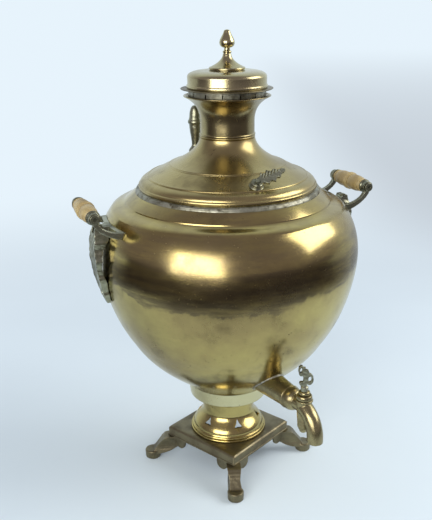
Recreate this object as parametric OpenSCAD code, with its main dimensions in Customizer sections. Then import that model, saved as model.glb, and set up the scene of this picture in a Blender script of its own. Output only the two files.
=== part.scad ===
// Samovar: a charcoal-fired brass tea urn, in millimetres.
// The upright axis is Z, the table is at Z = 0, the tap points to -Y and the handles lie near +X and -X.

/* [Feet and base plate] */
// Distance of each foot pad's centre from the upright axis
foot_reach = 105; // [98:1:112]
// Diameter of a foot pad
pad_d = 21; // [18:1:24]
// Height of a foot pad
pad_h = 12; // [9:1:15]
// Width of a cast leg where it leaves the plate
leg_w = 15; // [11:1:18]
// Length of the scalloped aprons beside each leg
apron_l = 30; // [22:1:36]
// Depth of the scalloped aprons
apron_h = 15; // [10:1:17]
// Thickness of the aprons and of the foot's top flange
apron_t = 4; // [3:0.5:6]
// Diameter of the screws that hold the feet
foot_screw_d = 5; // [4:0.5:6]
// Side of the square base plate
plate_side = 119; // [110:1:126]
// Height of the plate's underside above the table
plate_lift = 33; // [28:1:42]
// Height of the plate's moulded edge
plate_h = 13; // [11:1:18]
// Metal thickness of the cast plate
plate_t = 3; // [2:0.5:4]
// Bevel along the plate's upper edge
plate_bevel = 2; // [1:0.5:4]
// Turn of the square base against the tap, as the old urn has it
base_turn = 18; // [0:1:45]

/* [Pedestal and fire drum] */
// Radius of the pedestal's lowest ring
pedestal_foot_r = 51; // [48:0.5:53]
// Radius of the pedestal's neck
pedestal_neck_r = 34.5; // [32:0.5:37]
// Height of the pedestal
pedestal_h = 54; // [46:1:64]
// Sheet thickness of the pedestal
pedestal_t = 1.6; // [1.2:0.2:2.4]
// Number of pierced draught holes round the pedestal
draught_holes = 6; // [3:1:8]
// Size of one three-pointed draught hole
draught_hole_r = 6; // [4:0.5:7]
// Diameter of the rivets that hold the pedestal
pedestal_rivet_d = 3; // [2:0.5:4]
// Lower radius of the plain drum under the body
drum_low_r = 51; // [49:0.5:53]
// Upper radius of that drum
drum_top_r = 54; // [53:0.5:57]
// Height of that drum
drum_h = 19; // [15:1:24]
// Sheet thickness of the drum
drum_t = 1.5; // [1:0.25:2]
// Thickness of the cast fire grate
grate_t = 4; // [3:0.5:6]
// Width of a slot in the grate
grate_slot = 5; // [3:0.5:6]

/* [Body] */
// Greatest radius of the body
body_r = 163; // [156:1:170]
// Height of the body from the drum to its mouth
body_h = 259.5; // [250:0.5:275]
// How far the body's mouth stands out past the cover's rim
ring_rim = 4; // [2.5:0.5:6]
// Sheet thickness of the body
body_t = 1.5; // [1:0.25:2]
// Height of the tinned ring round the mouth
ring_h = 5.5; // [4:0.5:8]
// Width of the flat seat on that ring
ring_w = 11; // [9:0.5:14]
// Outer radius of the fire tube in the fire
fire_r = 44; // [40:0.5:47]
// Outer radius of the fire tube's chimney
chimney_r = 25; // [22:0.5:26]
// Height of the chimney's end above the body's mouth
chimney_rise = 92; // [80:1:100]
// Sheet thickness of the fire tube
fire_t = 2; // [1.5:0.25:2.5]

/* [Tap] */
// Height of the tap's centre line above the table
tap_z = 154; // [149:1:160]
// Length of the tap shank from the body to the tap's flange
shank_l = 40.5; // [34:0.25:46]
// Radius of the tap shank at the body
shank_root_r = 16.5; // [15:0.5:18]
// Radius of the tap shank at the flange
shank_end_r = 13.5; // [12:0.5:14]
// Radius of the bore in the shank
shank_bore_r = 8; // [7:0.25:9]
// Radius of the flange and bulb of the tap
flange_r = 14.5; // [14:0.25:16]
// Distance of the plug's axis from the face of the tap's flange
tap_reach = 29; // [26:0.5:33]
// Radius of the plug barrel at its top
barrel_r = 9.5; // [9:0.25:11]
// Radius of the plug barrel at its bottom
barrel_low_r = 7; // [6.5:0.25:8]
// Height of the barrel's top above the tap's centre line
barrel_up = 10.5; // [9:0.5:12]
// Depth of the barrel's bottom below the tap's centre line
barrel_down = 26.5; // [24:0.5:32]
// Radius of the tapered plug at the barrel's top
plug_r = 6.2; // [5.5:0.1:6.6]
// Radius of the tapered plug at the barrel's bottom
plug_low_r = 4.4; // [4:0.1:4.8]
// Radial running clearance of the plug in its barrel
plug_gap = 0.05; // [0.02:0.01:0.1]
// Bore of the water way through barrel and plug
water_d = 6; // [4:0.5:7]
// Outer radius of the spout
spout_r = 9.5; // [8:0.25:10]
// Bore radius of the spout
spout_bore_r = 6.5; // [5:0.25:7]
// Distance of the spout's mouth from the plug's axis
spout_out = 22; // [20:0.5:26]
// Radius of the bend of the spout
spout_bend = 32; // [31:0.5:36]
// Height of the spout's mouth above the table
spout_mouth_z = 119; // [117:0.5:122]
// Height of the key above the plug's collar
key_h = 32; // [26:1:38]
// Thickness of the cast key
key_t = 4.5; // [3:0.5:6]
// Turn of the key at rest, 0 with its flat side to the front
key_turn = -31; // [-90:1:90]

/* [Handles] */
// Distance of each grip's axis outside the body's belly
grip_gap = 16; // [13:0.5:20]
// Depth of each grip's axis below the body's mouth
grip_drop = 7.5; // [4:0.5:14]
// Length of a wooden grip
grip_l = 64; // [56:1:72]
// Largest diameter of a wooden grip
grip_d = 22; // [19:0.5:24]
// Diameter of the rod through a grip
rod_d = 5; // [4:0.5:6]
// Thickness of a handle arm
arm_t = 6; // [5:0.5:8]
// Width of a handle arm
arm_w = 7; // [6:0.5:9]
// Length of the leaf that hangs from each bracket
leaf_l = 100; // [90:1:108]
// Width of that leaf
leaf_w = 30; // [24:1:36]
// Diameter of the rivets of a bracket
bracket_rivet_d = 4; // [3:0.5:5]
// Turn of the pair of handles against the tap, as the old urn has it
handle_turn = -8; // [-12:1:0]

/* [Cover] */
// Radius of the cover's rim
cover_r = 109.5; // [107:0.5:110.5]
// Height of the cover up to the bead of its neck
cover_h = 62; // [58:1:68]
// Radius of the cover's neck
neck_r = 33.5; // [32.5:0.5:35]
// Sheet thickness of the cover
cover_t = 1.3; // [1:0.1:1.6]
// How far the cover lifts in use
cover_lift = 100; // [60:5:140]
// Distance of the rear knob from the upright axis
knob_out = 56; // [53:1:60]
// Height of the rear knob
knob_h = 58; // [48:1:62]
// Radius of the rear knob
knob_r = 8.5; // [7:0.5:9]
// Direction of the rear knob, from the tap
knob_turn = 194; // [180:1:210]
// Distance of the steam vent from the upright axis
vent_out = 90; // [86:1:92]
// Direction of the steam vent, from the tap
vent_turn = -11; // [-30:1:30]
// Radius of the steam vent's seat
vent_r = 7.5; // [7:0.5:8]
// Length of the steam vent's leaf
vent_l = 38; // [30:1:42]
// Rise of that leaf above its seat
vent_rise = 12; // [8:1:24]

/* [Draught collar and cap] */
// Height of the draught collar
collar_h = 47; // [42:1:54]
// Radius of the draught collar's rim
collar_rim_r = 52.5; // [50:0.5:54]
// Sheet thickness of the draught collar
collar_t = 1.3; // [1:0.1:1.6]
// Radius of the cap's drum
cap_r = 47.3; // [45:0.1:48]
// Height of the cap's drum
cap_h = 21; // [18:0.5:26]
// Radius of the thin brim under the drum
brim_r = 55.5; // [51:0.5:57]
// Thickness of that brim
brim_t = 0.9; // [0.6:0.1:1.4]
// Height of the tinned band under the brim
band_h = 9; // [8.5:0.5:10]
// Sheet thickness of the cap
cap_t = 1.2; // [0.8:0.1:1.6]
// Radius of the finial's base disc
finial_base_r = 21.5; // [18:0.5:24]
// Height of the finial and its base
finial_h = 45; // [40:1:52]
// Radius of the acorn of the finial
acorn_r = 9; // [7:0.5:11]

/* [Hidden] */
$fn = 64;

brass = "#b79a4b";
pale_brass = "#bfae68";
red_brass = "#8d6a45";
bronze = "#5d5a42";
tin = "#b9bcae";
iron = "#3b3a38";
steel = "#8f9090";
wood = "#b48a52";

// Clearance between pieces that part from each other
part_gap = 0.4;
// Gap under a lip that rests on a flare
seat_gap = 0.1;
// Overlap that makes a cutter pass right through
cut = 1;

neck_bead_h = 3;
neck_in = 1;
spigot_h = 12;
spigot_t = 1.3;
// The spigot is soldered inside the cover's neck, and the draught collar slips over it
spigot_r = neck_r - neck_in - cover_t;
collar_low_r = spigot_r + part_gap + collar_t;

half = plate_side / 2;
plate_top = plate_lift + plate_h;
drum_z = plate_top + pedestal_h;
body_z = drum_z + drum_h;
mouth_z = body_z + body_h;
seat_z = mouth_z + ring_h;
collar_z = seat_z + cover_h;
rim_z = collar_z + collar_h;
mouth_r = cover_r + ring_rim;
band_r = cap_r - 0.8;
// The tinned band's lower edge seats in the flare of the draught collar
band_z = collar_z + height_at(moved_in(collar_line(), collar_t), band_r) + seat_gap;
brim_z = band_z + band_h;
cap_z = brim_z + brim_t;
finial_z = cap_z + cap_h;

// ---------- curves ----------

// Points 1 to n of a cubic curve from a to d, drawn by b and c
function curve(a, b, c, d, n) = [
    for (i = [1:n])
        let (t = i / n, s = 1 - t)
            a * s * s * s + b * 3 * s * s * t + c * 3 * s * t * t + d * t * t * t
];
// Points of a half-round bead on the line from a to b, h proud on its right-hand side
function bead(a, b, h, n = 6) = [
    for (i = [0:n])
        let (t = i / n, d = (b - a) / norm(b - a))
            a + (b - a) * (1 - cos(180 * t)) / 2 + [d.y, -d.x] * h * sin(180 * t)
];
function back(p) = [for (i = [len(p) - 1:-1:0]) p[i]];
function heading(p, i) =
    let (a = p[max(i - 1, 0)], b = p[min(i + 1, len(p) - 1)])
        (b - a) / norm(b - a);
// The path p moved w to its left, with a steep end kept level with the end of p
function moved_in(p, w) = [
    for (i = [0:len(p) - 1])
        let (d = heading(p, i), level = (i == 0 || i == len(p) - 1) && abs(d.y) > 0.3)
            p[i] + (level ? [-w / d.y, 0] : [-d.y, d.x] * w)
];
// Height of the line p at radius r
function height_at(p, r) = lookup(r, [for (q = p) [q.x, q.y]]);
// A spun sheet: outer face, and the plain line that its inner face follows at w
module spun(face, line, w) {
    rotate_extrude($fn = 96)
        polygon(concat(face, back(moved_in(line, w))));
}
module spun_solid(face) {
    rotate_extrude($fn = 64)
        polygon(face);
}

// ---------- feet and base plate ----------

corner = half * sqrt(2);
screw_in = 15;
screw_head_h = 2.5;
boss_r = foot_screw_d / 2 + 3;
boss_h = plate_h - plate_t;
thread_depth = 7;
lip = 2;
lip_proud = 1;

module moulded_bar() {
    h = half - lip_proud;
    rotate([90, 0, 0])
        linear_extrude(plate_side + cut, center = true)
            polygon([
                [-half, 0], [half, 0], [half, lip], [h, lip], [h, plate_h - plate_bevel],
                [h - plate_bevel, plate_h], [plate_bevel - h, plate_h], [-h, plate_h - plate_bevel],
                [-h, lip], [-half, lip]
            ]);
}

module at_screw(i) {
    rotate([0, 0, 45 + 90 * i])
        translate([corner - screw_in * sqrt(2), 0, 0])
            children();
}

module base_plate() {
    inner = half - lip_proud - plate_t;
    draught_r = pedestal_foot_r - 14;
    color(red_brass)
        rotate([0, 0, base_turn])
            translate([0, 0, plate_lift])
                difference() {
                    intersection() {
                        moulded_bar();
                        rotate([0, 0, 90]) moulded_bar();
                    }
                    difference() {
                        translate([-inner, -inner, -cut])
                            cube([2 * inner, 2 * inner, plate_h - plate_t + cut]);
                        for (i = [0:3])
                            at_screw(i) cylinder(r = boss_r, h = boss_h + cut);
                    }
                    translate([0, 0, -cut]) cylinder(r = draught_r, h = plate_h + 2 * cut);
                    for (i = [0:3])
                        at_screw(i) translate([0, 0, -cut])
                            cylinder(d = foot_screw_d, h = thread_depth + cut);
                    for (i = [0:3])
                        at_rivet(i) translate([0, 0, -cut])
                            cylinder(d = pedestal_rivet_d, h = plate_h + 2 * cut);
                }
}

// Depth of an apron at share f of its length from the corner: a straight edge, a cusp and a round lobe
apron_cusp = 0.4;
function apron_drop(f) =
    f < apron_cusp
        ? apron_h * (1 - 0.35 * f / apron_cusp)
        : apron_h * (0.32 + 0.6 * sqrt(max(0, 1 - pow((f - 0.7) / 0.3, 2))));

module apron() {
    steps = 20;
    in = half - lip_proud;
    translate([0, in, 0])
        rotate([90, 0, 0])
            linear_extrude(apron_t)
                polygon(concat(
                    [[in, 0]],
                    [for (i = [0:steps]) [in - apron_l * i / steps, -apron_drop(i / steps)]],
                    [[in - apron_l, 0]]
                ));
}

// Side view of the leg, from the plate's corner out and down to the pad
module leg_side() {
    start = corner - 16;
    knee = corner + 3;
    polygon(concat(
        [[start, 0], [knee - 3, 0]],
        curve([knee - 3, 0], [knee + 4, 0], [foot_reach - 8, pad_h + 8 - plate_lift],
            [foot_reach, pad_h - 0.6 - plate_lift], 10),
        [[foot_reach - 3, pad_h - 5 - plate_lift], [foot_reach - 7, pad_h - 5 - plate_lift]],
        curve([foot_reach - 7, pad_h - 5 - plate_lift], [knee - 6, pad_h - 2 - plate_lift],
            [knee - 8, pad_h - plate_lift], [start, -apron_h], 10)
    ));
}

// Front view of the leg: wide at the plate, waisted, wider at the pad
module leg_front() {
    w = leg_w / 2;
    neck = w * 0.92;
    pad = pad_d / 2 - 1;
    right = concat(
        [[w + 2, 0.5]],
        curve([w + 2, 0.5], [w + 1, -6], [neck, -8], [neck, -plate_lift * 0.42], 6),
        curve([neck, -plate_lift * 0.42], [neck, -plate_lift * 0.6], [pad, -plate_lift * 0.6],
            [pad, -plate_lift], 6)
    );
    polygon(concat(right, [for (p = back(right)) [-p.x, p.y]]));
}

module foot(i) {
    flange_in = half - lip_proud - apron_l;
    pad_r = pad_d / 2;
    reach = foot_reach / sqrt(2);
    color(red_brass)
        rotate([0, 0, base_turn + 90 * i])
            translate([0, 0, plate_lift])
                difference() {
                    union() {
                        apron();
                        mirror([1, -1, 0]) apron();
                        translate([0, 0, -apron_t])
                            linear_extrude(apron_t)
                                polygon([
                                    [half - lip_proud, half - lip_proud], [flange_in, half - lip_proud],
                                    [half - lip_proud, flange_in]
                                ]);
                        rotate([0, 0, 45])
                            intersection() {
                                rotate([90, 0, 0])
                                    linear_extrude(pad_d + 12, center = true) leg_side();
                                rotate([90, 0, 90])
                                    linear_extrude(foot_reach + pad_d) leg_front();
                            }
                        translate([reach, reach, -plate_lift])
                            spun_solid([
                                [0, 0], [pad_r - 1, 0], [pad_r - 0.2, 1], [pad_r, pad_h * 0.4],
                                [pad_r, pad_h - 1.6], [pad_r - 0.6, pad_h - 0.4], [pad_r - 1.6, pad_h],
                                [0, pad_h]
                            ]);
                    }
                    rotate([0, 0, 45])
                        translate([corner - screw_in * sqrt(2), 0, 0]) {
                            translate([0, 0, -apron_t - cut])
                                cylinder(d = foot_screw_d, h = apron_t + 2 * cut);
                            translate([0, 0, -plate_lift])
                                cylinder(r = boss_r, h = plate_lift - apron_t);
                        }
                }
}

module foot_screws() {
    color(steel)
        rotate([0, 0, base_turn])
            for (i = [0:3])
                at_screw(i)
                    translate([0, 0, plate_lift - apron_t]) {
                        cylinder(d = foot_screw_d, h = apron_t + thread_depth - 1);
                        difference() {
                            translate([0, 0, -screw_head_h])
                                cylinder(r = boss_r - 0.6, h = screw_head_h);
                            translate([-boss_r, -0.5, -screw_head_h - cut])
                                cube([2 * boss_r, 1, 1 + cut]);
                        }
                    }
}

// ---------- pedestal and fire drum ----------

pedestal_flange_w = 10;
pedestal_top_r = pedestal_neck_r + 3.5;
ring_gap = 3.4;
cove_r = pedestal_foot_r - 4;
cove_z = 7.6;
hole_turn = -13;
rivet_head_h = 1.2;

module at_rivet(i) {
    rotate([0, 0, 90 * i])
        translate([pedestal_foot_r - pedestal_flange_w + 2.5, 0, 0])
            children();
}

function pedestal_line() =
    let (
        foot = [pedestal_foot_r - 1.5, 0],
        cove = [cove_r, cove_z],
        neck = [pedestal_neck_r, pedestal_h * 0.58],
        top = [pedestal_top_r, pedestal_h]
    )
        concat(
            [foot, [pedestal_foot_r - 1.5, 2]],
            curve([pedestal_foot_r - 1.5, 2], [pedestal_foot_r - 2, 5], [cove_r + 0.4, cove_z - 1], cove, 3),
            curve(cove, [cove_r - 1, pedestal_h * 0.32], [pedestal_neck_r, pedestal_h * 0.4], neck, 14),
            curve(neck, [pedestal_neck_r, pedestal_h * 0.8], top - [3.2, pedestal_h * 0.07], top, 8)
        );
function pedestal_face() =
    let (
        foot_r = pedestal_foot_r - 1.2,
        cove = [cove_r, cove_z],
        neck = [pedestal_neck_r, pedestal_h * 0.58],
        top = [pedestal_top_r, pedestal_h]
    )
        concat(
            bead([foot_r, 0], [foot_r, ring_gap], 1.2),
            bead([foot_r - 0.8, ring_gap], [cove_r + 0.8, cove_z - 1], 1),
            [cove],
            curve(cove, [cove_r - 1, pedestal_h * 0.32], [pedestal_neck_r, pedestal_h * 0.4], neck, 14),
            curve(neck, [pedestal_neck_r, pedestal_h * 0.8], top - [3.2, pedestal_h * 0.07], top, 8)
        );

// A hole with three pointed lobes
module trefoil(r) {
    sides = 3;
    for (i = [0:sides - 1])
        rotate(90 + 120 * i)
            polygon([
                [-r * 0.3, -r * 0.28], [r * 0.35, -r * 0.34], [r, 0],
                [r * 0.35, r * 0.34], [-r * 0.3, r * 0.28]
            ]);
}

module pedestal() {
    color(brass)
        translate([0, 0, plate_top])
            difference() {
                union() {
                    spun(pedestal_face(), pedestal_line(), pedestal_t);
                    difference() {
                        cylinder(r = pedestal_foot_r - 1.5, h = pedestal_t);
                        translate([0, 0, -cut])
                            cylinder(r = pedestal_foot_r - pedestal_flange_w, h = pedestal_t + 2 * cut);
                    }
                }
                for (i = [0:draught_holes - 1])
                    rotate([0, 0, hole_turn + 360 / draught_holes * i])
                        translate([0, -pedestal_neck_r + 8, pedestal_h * 0.37])
                            rotate([90, 0, 0])
                                linear_extrude(pedestal_foot_r * 0.6) trefoil(draught_hole_r);
                rotate([0, 0, base_turn])
                    for (i = [0:3])
                        at_rivet(i) translate([0, 0, -cut])
                            cylinder(d = pedestal_rivet_d, h = pedestal_t + 2 * cut);
            }
}

module pedestal_rivets() {
    grip = plate_t + pedestal_t;
    color(brass)
        rotate([0, 0, base_turn])
            for (i = [0:3])
                at_rivet(i)
                    translate([0, 0, plate_top - plate_t]) {
                        cylinder(d = pedestal_rivet_d, h = grip);
                        translate([0, 0, -rivet_head_h])
                            cylinder(r = pedestal_rivet_d - 0.4, h = rivet_head_h);
                        translate([0, 0, grip])
                            cylinder(r = pedestal_rivet_d - 0.6, h = rivet_head_h);
                    }
}

grate_hole_r = fire_r - fire_t - 8;

module fire_drum() {
    color(pale_brass)
        translate([0, 0, drum_z])
            rotate_extrude($fn = 96)
                polygon([
                    [grate_hole_r, 0], [drum_low_r - 1, 0], [drum_low_r, 1], [drum_top_r, drum_h],
                    [drum_top_r - drum_t, drum_h], [drum_low_r - drum_t, drum_t], [grate_hole_r, drum_t]
                ]);
}

module fire_grate() {
    grate_r = fire_r - fire_t - part_gap;
    pitch = grate_slot * 2;
    rows = floor((grate_r - 6) / pitch);
    color(iron)
        translate([0, 0, drum_z + drum_t])
            difference() {
                cylinder(r = grate_r, h = grate_t);
                for (i = [-rows:rows]) {
                    l = sqrt(pow(grate_r - 5, 2) - pow(i * pitch, 2));
                    translate([-l, i * pitch - grate_slot / 2, -cut])
                        cube([2 * l, grate_slot, grate_t + 2 * cut]);
                }
            }
}

// ---------- fire tube and body ----------

chimney_top = mouth_z + chimney_rise;

function fire_line() =
    let (shoulder = [fire_r, body_z + body_h * 0.3], waist = [chimney_r, body_z + body_h * 0.66])
        concat(
            [[fire_r, drum_z + drum_t], shoulder],
            curve(shoulder, shoulder + [0, 45], waist - [0, 45], waist, 12),
            [[chimney_r, chimney_top]]
        );

module fire_tube() {
    color(brass)
        spun(fire_line(), fire_line(), fire_t);
}

// A step of x times the body's radius and z times its height
function of_body(x, z) = [body_r * x, body_h * z];

function body_line() =
    let (
        low = [drum_top_r, body_z],
        hip = [0, body_z] + of_body(0.784, 0.281),
        belly = [0, body_z] + of_body(1, 0.705),
        brow = [0, body_z] + of_body(0.885, 0.927),
        step = [mouth_r * 1.12, mouth_z - body_h * 0.042]
    )
        concat(
            [low],
            curve(low, low + of_body(0.065, 0.056), hip - of_body(0.147, 0.16), hip, 14),
            curve(hip, hip + of_body(0.182, 0.169), belly - of_body(0, 0.062), belly, 16),
            curve(belly, belly + of_body(0, 0.139), brow + of_body(0.014, -0.015), brow, 10),
            curve(brow, brow + of_body(-0.028, 0.02), step + of_body(0.03, -0.014), step, 4),
            [[mouth_r, mouth_z]]
        );

// Radius of the body's outer line at height z
function body_at(z) = lookup(z, [for (p = body_line()) [p.y, p.x]]);

module body_hull() {
    spun_solid(concat([[0, body_z]], body_line(), [[0, mouth_z]]));
}

module body_shell() {
    inner = moved_in(body_line(), body_t);
    bottom_t = 2;
    color(brass)
        difference() {
            rotate_extrude($fn = 128)
                polygon(concat(
                    [[fire_r, body_z]],
                    body_line(),
                    [[mouth_r - body_t, mouth_z]],
                    [for (i = [len(inner) - 2:-1:1]) inner[i]],
                    [[fire_r, body_z + bottom_t]]
                ));
            translate([0, 0, tap_z])
                rotate([90, 0, 0])
                    cylinder(r = shank_bore_r, h = flange_y);
            for (side = [0, 1])
                rotate([0, 0, 180 * side + handle_turn])
                    for (z = rivet_heights)
                        at_body(z) cylinder(d = bracket_rivet_d, h = rivet_reach, center = true);
        }
}

module mouth_ring() {
    seat_r = mouth_r - ring_w;
    color(tin)
        translate([0, 0, mouth_z])
            rotate_extrude($fn = 96)
                polygon(concat(
                    [[seat_r, 0], [mouth_r, 0]],
                    bead([mouth_r, 0.3], [mouth_r - 3, ring_h - 0.4], 0.8),
                    [[mouth_r - 3.4, ring_h], [seat_r, ring_h]]
                ));
}

// ---------- tap ----------

module along_tap(y) {
    translate([0, -y, tap_z])
        rotate([90, 0, 0])
            children();
}

flange_y = body_at(tap_z) + shank_l;
plug_y = flange_y + tap_reach;

module tap_shank() {
    sunk = 2 * shank_root_r;
    root = flange_y - shank_l - sunk;
    taper = (shank_root_r - shank_end_r) / shank_l;
    color(brass)
        difference() {
            along_tap(root)
                cylinder(r1 = shank_root_r + taper * sunk, r2 = shank_end_r, h = flange_y - root);
            along_tap(root - cut)
                cylinder(r = shank_bore_r, h = flange_y - root + 2 * cut);
            body_hull();
        }
}

flange_t = 3;
tail_l = 16;
tail_wall = 1.4;
barrel_top = tap_z + barrel_up;
barrel_bottom = tap_z - barrel_down;
spout_y = plug_y + spout_out;
bend_z = spout_mouth_z + 5;
// The bend starts on the tap's centre line, inside the barrel
bend_angle = asin(min(1, (tap_z - bend_z) / spout_bend));

module tap_run() {
    bulb = flange_r - 0.4;
    span = plug_y - flange_y;
    along_tap(flange_y)
        spun_solid(concat(
            [
                [0, 0], [flange_r - 0.6, 0], [flange_r, 0.7], [flange_r, flange_t - 0.7],
                [flange_r - 0.6, flange_t]
            ],
            curve([bulb - 0.6, flange_t], [bulb + 0.6, flange_t + 5], [bulb - 1, flange_t + 11],
                [barrel_r - 0.5, flange_t + 13.5], 9),
            [[barrel_r - 1.2, span], [0, span]]
        ));
}

module spout_sweep(r, extra = 0) {
    translate([0, -spout_y, bend_z])
        rotate([90, 0, -90])
            translate([-spout_bend, 0, 0])
                rotate_extrude(angle = bend_angle, $fn = 96)
                    translate([spout_bend, 0]) circle(r = r, $fn = 48);
    translate([0, -spout_y, spout_mouth_z - extra])
        cylinder(r = r, h = bend_z - spout_mouth_z + extra);
}

module tap_body() {
    barrel_h = barrel_top - barrel_bottom;
    color(brass)
        difference() {
            union() {
                tap_run();
                along_tap(flange_y - tail_l)
                    cylinder(r = shank_bore_r, h = tail_l);
                translate([0, -plug_y, barrel_bottom])
                    spun_solid([
                        [0, 0], [barrel_low_r - 0.6, 0], [barrel_low_r, 0.8],
                        [barrel_r - 0.2, barrel_h - 3], [barrel_r + 0.8, barrel_h - 2.4],
                        [barrel_r + 0.8, barrel_h - 0.6], [barrel_r, barrel_h], [0, barrel_h]
                    ]);
                spout_sweep(spout_r);
            }
            translate([0, -plug_y, barrel_bottom])
                cylinder(r1 = plug_low_r + plug_gap, r2 = plug_r + plug_gap, h = barrel_h);
            translate([0, -plug_y, barrel_bottom - cut])
                cylinder(r = plug_low_r + plug_gap, h = cut + 0.01);
            translate([0, -plug_y, barrel_top - cut])
                cylinder(r = plug_r + plug_gap, h = 2 * cut);
            translate([0, -plug_y, barrel_top])
                cylinder(r = barrel_r + 2 * part_gap, h = spout_r);
            along_tap(flange_y - tail_l - cut)
                cylinder(d = water_d, h = plug_y - flange_y + tail_l + cut);
            along_tap(flange_y - tail_l - cut)
                cylinder(r = shank_bore_r - tail_wall, h = tail_l + cut);
            along_tap(plug_y)
                cylinder(d = water_d, h = barrel_r + water_d / 2);
            difference() {
                spout_sweep(spout_bore_r, cut);
                translate([0, -plug_y, barrel_bottom])
                    cylinder(r = barrel_r + 0.8, h = barrel_h + 2);
            }
        }
}

collar_low_h = 5;
collar_top_h = 5;
stem_r = 3;
stem_h = 5;
plug_end = 6;

module tap_plug() {
    h = barrel_top - barrel_bottom;
    low = barrel_top + part_gap;
    stem_z = collar_low_h + collar_top_h;
    color(brass)
        difference() {
            translate([0, -plug_y, 0]) {
                translate([0, 0, barrel_bottom])
                    cylinder(r1 = plug_low_r, r2 = plug_r, h = h);
                translate([0, 0, barrel_bottom - plug_end])
                    cylinder(r = plug_low_r - 1.4, h = plug_end + 1);
                translate([0, 0, barrel_top - 0.5])
                    cylinder(r = plug_r, h = 1);
                translate([0, 0, low])
                    spun_solid(concat(
                        [[0, 0]],
                        bead([barrel_r - 0.6, 0], [barrel_r - 1.4, collar_low_h], 0.8),
                        bead([stem_r + 2, collar_low_h], [stem_r + 2, stem_z], 1.8),
                        [[stem_r, stem_z], [stem_r, stem_z + stem_h], [0, stem_z + stem_h]]
                    ));
            }
            translate([0, -plug_y, tap_z])
                rotate([0, 90, 0])
                    cylinder(d = water_d, h = 2 * plug_r + 2 * cut, center = true);
            translate([0, -plug_y, key_pin_z])
                rotate([90, 0, 0])
                    cylinder(d = key_pin_d, h = 4 * stem_r, center = true);
        }
}

key_pin_d = 1.6;
key_z = barrel_top + part_gap + collar_low_h + collar_top_h;
key_pin_z = key_z + stem_h / 2;
socket_r = stem_r + 1.6;
socket_h = stem_h + 1.5;

function oval(x, z, rx, rz, n = 24) = [
    for (i = [1:n])
        let (a = 360 * i / n)
            [x + rx * cos(a), z + rz * sin(a)]
];

// The key seen from its flat side: a trunk with two pierced scrolls and two buds
module key_outline() {
    top = key_h - socket_h;
    difference() {
        union() {
            polygon([
                [-2.4, -2], [2.4, -2], [1.9, top * 0.3], [0.4, top * 0.92], [-3.2, top * 0.92],
                [-1.9, top * 0.3]
            ]);
            polygon(oval(5, top * 0.34, 5, 7.2));
            polygon(oval(-4.4, top * 0.76, 3.5, 6.6));
            polygon(oval(-3.8, top * 0.12, 2.6, 2.6));
            polygon(oval(1.6, top * 0.68, 3, 3.6));
        }
        polygon(oval(5.7, top * 0.34, 1.8, 3.6));
        polygon(oval(-4.6, top * 0.79, 1.1, 3));
    }
}

module tap_key() {
    color(bronze)
        translate([0, -plug_y, key_z])
            difference() {
                union() {
                    spun_solid([
                        [0, 0], [socket_r, 0], [socket_r, socket_h - 1.5], [socket_r - 1.5, socket_h],
                        [0, socket_h]
                    ]);
                    translate([0, 0, socket_h])
                        rotate([90, 0, key_turn])
                            linear_extrude(key_t, center = true) key_outline();
                }
                translate([0, 0, -cut]) cylinder(r = stem_r, h = stem_h + cut);
                translate([0, 0, stem_h / 2])
                    rotate([90, 0, 0]) cylinder(d = key_pin_d, h = 4 * socket_r, center = true);
            }
}

module key_pin() {
    color(steel)
        translate([0, -plug_y, key_pin_z])
            rotate([90, 0, 0])
                cylinder(d = key_pin_d, h = 2 * socket_r + 0.8, center = true);
}

module plug_nut() {
    color(brass)
        translate([0, -plug_y, barrel_bottom - part_gap])
            difference() {
                translate([0, 0, -plug_end])
                    spun_solid([
                        [0, -1.6], [1.6, -1.2], [3, 0], [plug_low_r, 1.4], [plug_low_r, plug_end - 2],
                        [barrel_low_r - 1, plug_end - 1.4], [barrel_low_r - 1, plug_end], [0, plug_end]
                    ]);
                translate([0, 0, -plug_end + part_gap])
                    cylinder(r = plug_low_r - 1.4, h = plug_end + cut);
            }
}

// ---------- handles ----------

grip_out = body_r + grip_gap;
grip_z = mouth_z - grip_drop;
ferrule_t = rod_d * 0.6;
arm_in = grip_l / 2 + ferrule_t;
eye_r = 7;
head_t = 2.2;
bar_t = arm_t * 0.6;
bracket_z = grip_z - body_h * 0.09;
leaf_top = [grip_out - eye_r - 2, bracket_z + arm_w];
leaf_z = leaf_top.y - leaf_l;
leaf_tip_t = 5.5;
leaf_gap = 4.5;
leaf_bow = grip_gap * 0.62;
rivet_heights = [bracket_z - arm_w, leaf_z + leaf_l * 0.14];
rivet_grip = bracket_rivet_d * 1.5;
rivet_in = body_t + bracket_rivet_d * 0.6;
rivet_reach = bracket_rivet_d * 8;

// The frame of a rivet at height z: its Z is square to the body
module at_body(z) {
    slope = atan2(body_at(z - 2) - body_at(z + 2), 4);
    translate([body_at(z), 0, z])
        rotate([0, 90 - slope, 0])
            children();
}

// Side view of one arm: from its foot on the body, bowed outward, up to the eye
module arm_side() {
    foot_r = body_at(bracket_z) - 1;
    eye = [grip_out, grip_z];
    foot_low = [foot_r, bracket_z - 4];
    foot_high = [foot_r, bracket_z + arm_w - 3];
    polygon(concat(
        [foot_low],
        curve(foot_low, foot_low + [11, 2], eye + [4, -2 * eye_r], eye + [arm_w / 2, -1], 10),
        [eye + [-arm_w / 2, -1]],
        curve(eye + [-arm_w / 2, -1], eye + [-arm_w / 2, -13], foot_high + [10, 1], foot_high, 10)
    ));
    translate(eye) circle(r = eye_r, $fn = 48);
}

// Gap between the arched leaf and the body, at share s of the height from the tip to the bar
function leaf_arch(s) = s < 0.3 || s > 0.85 ? -2 : leaf_gap * sin(180 * (s - 0.3) / 0.55);

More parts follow.
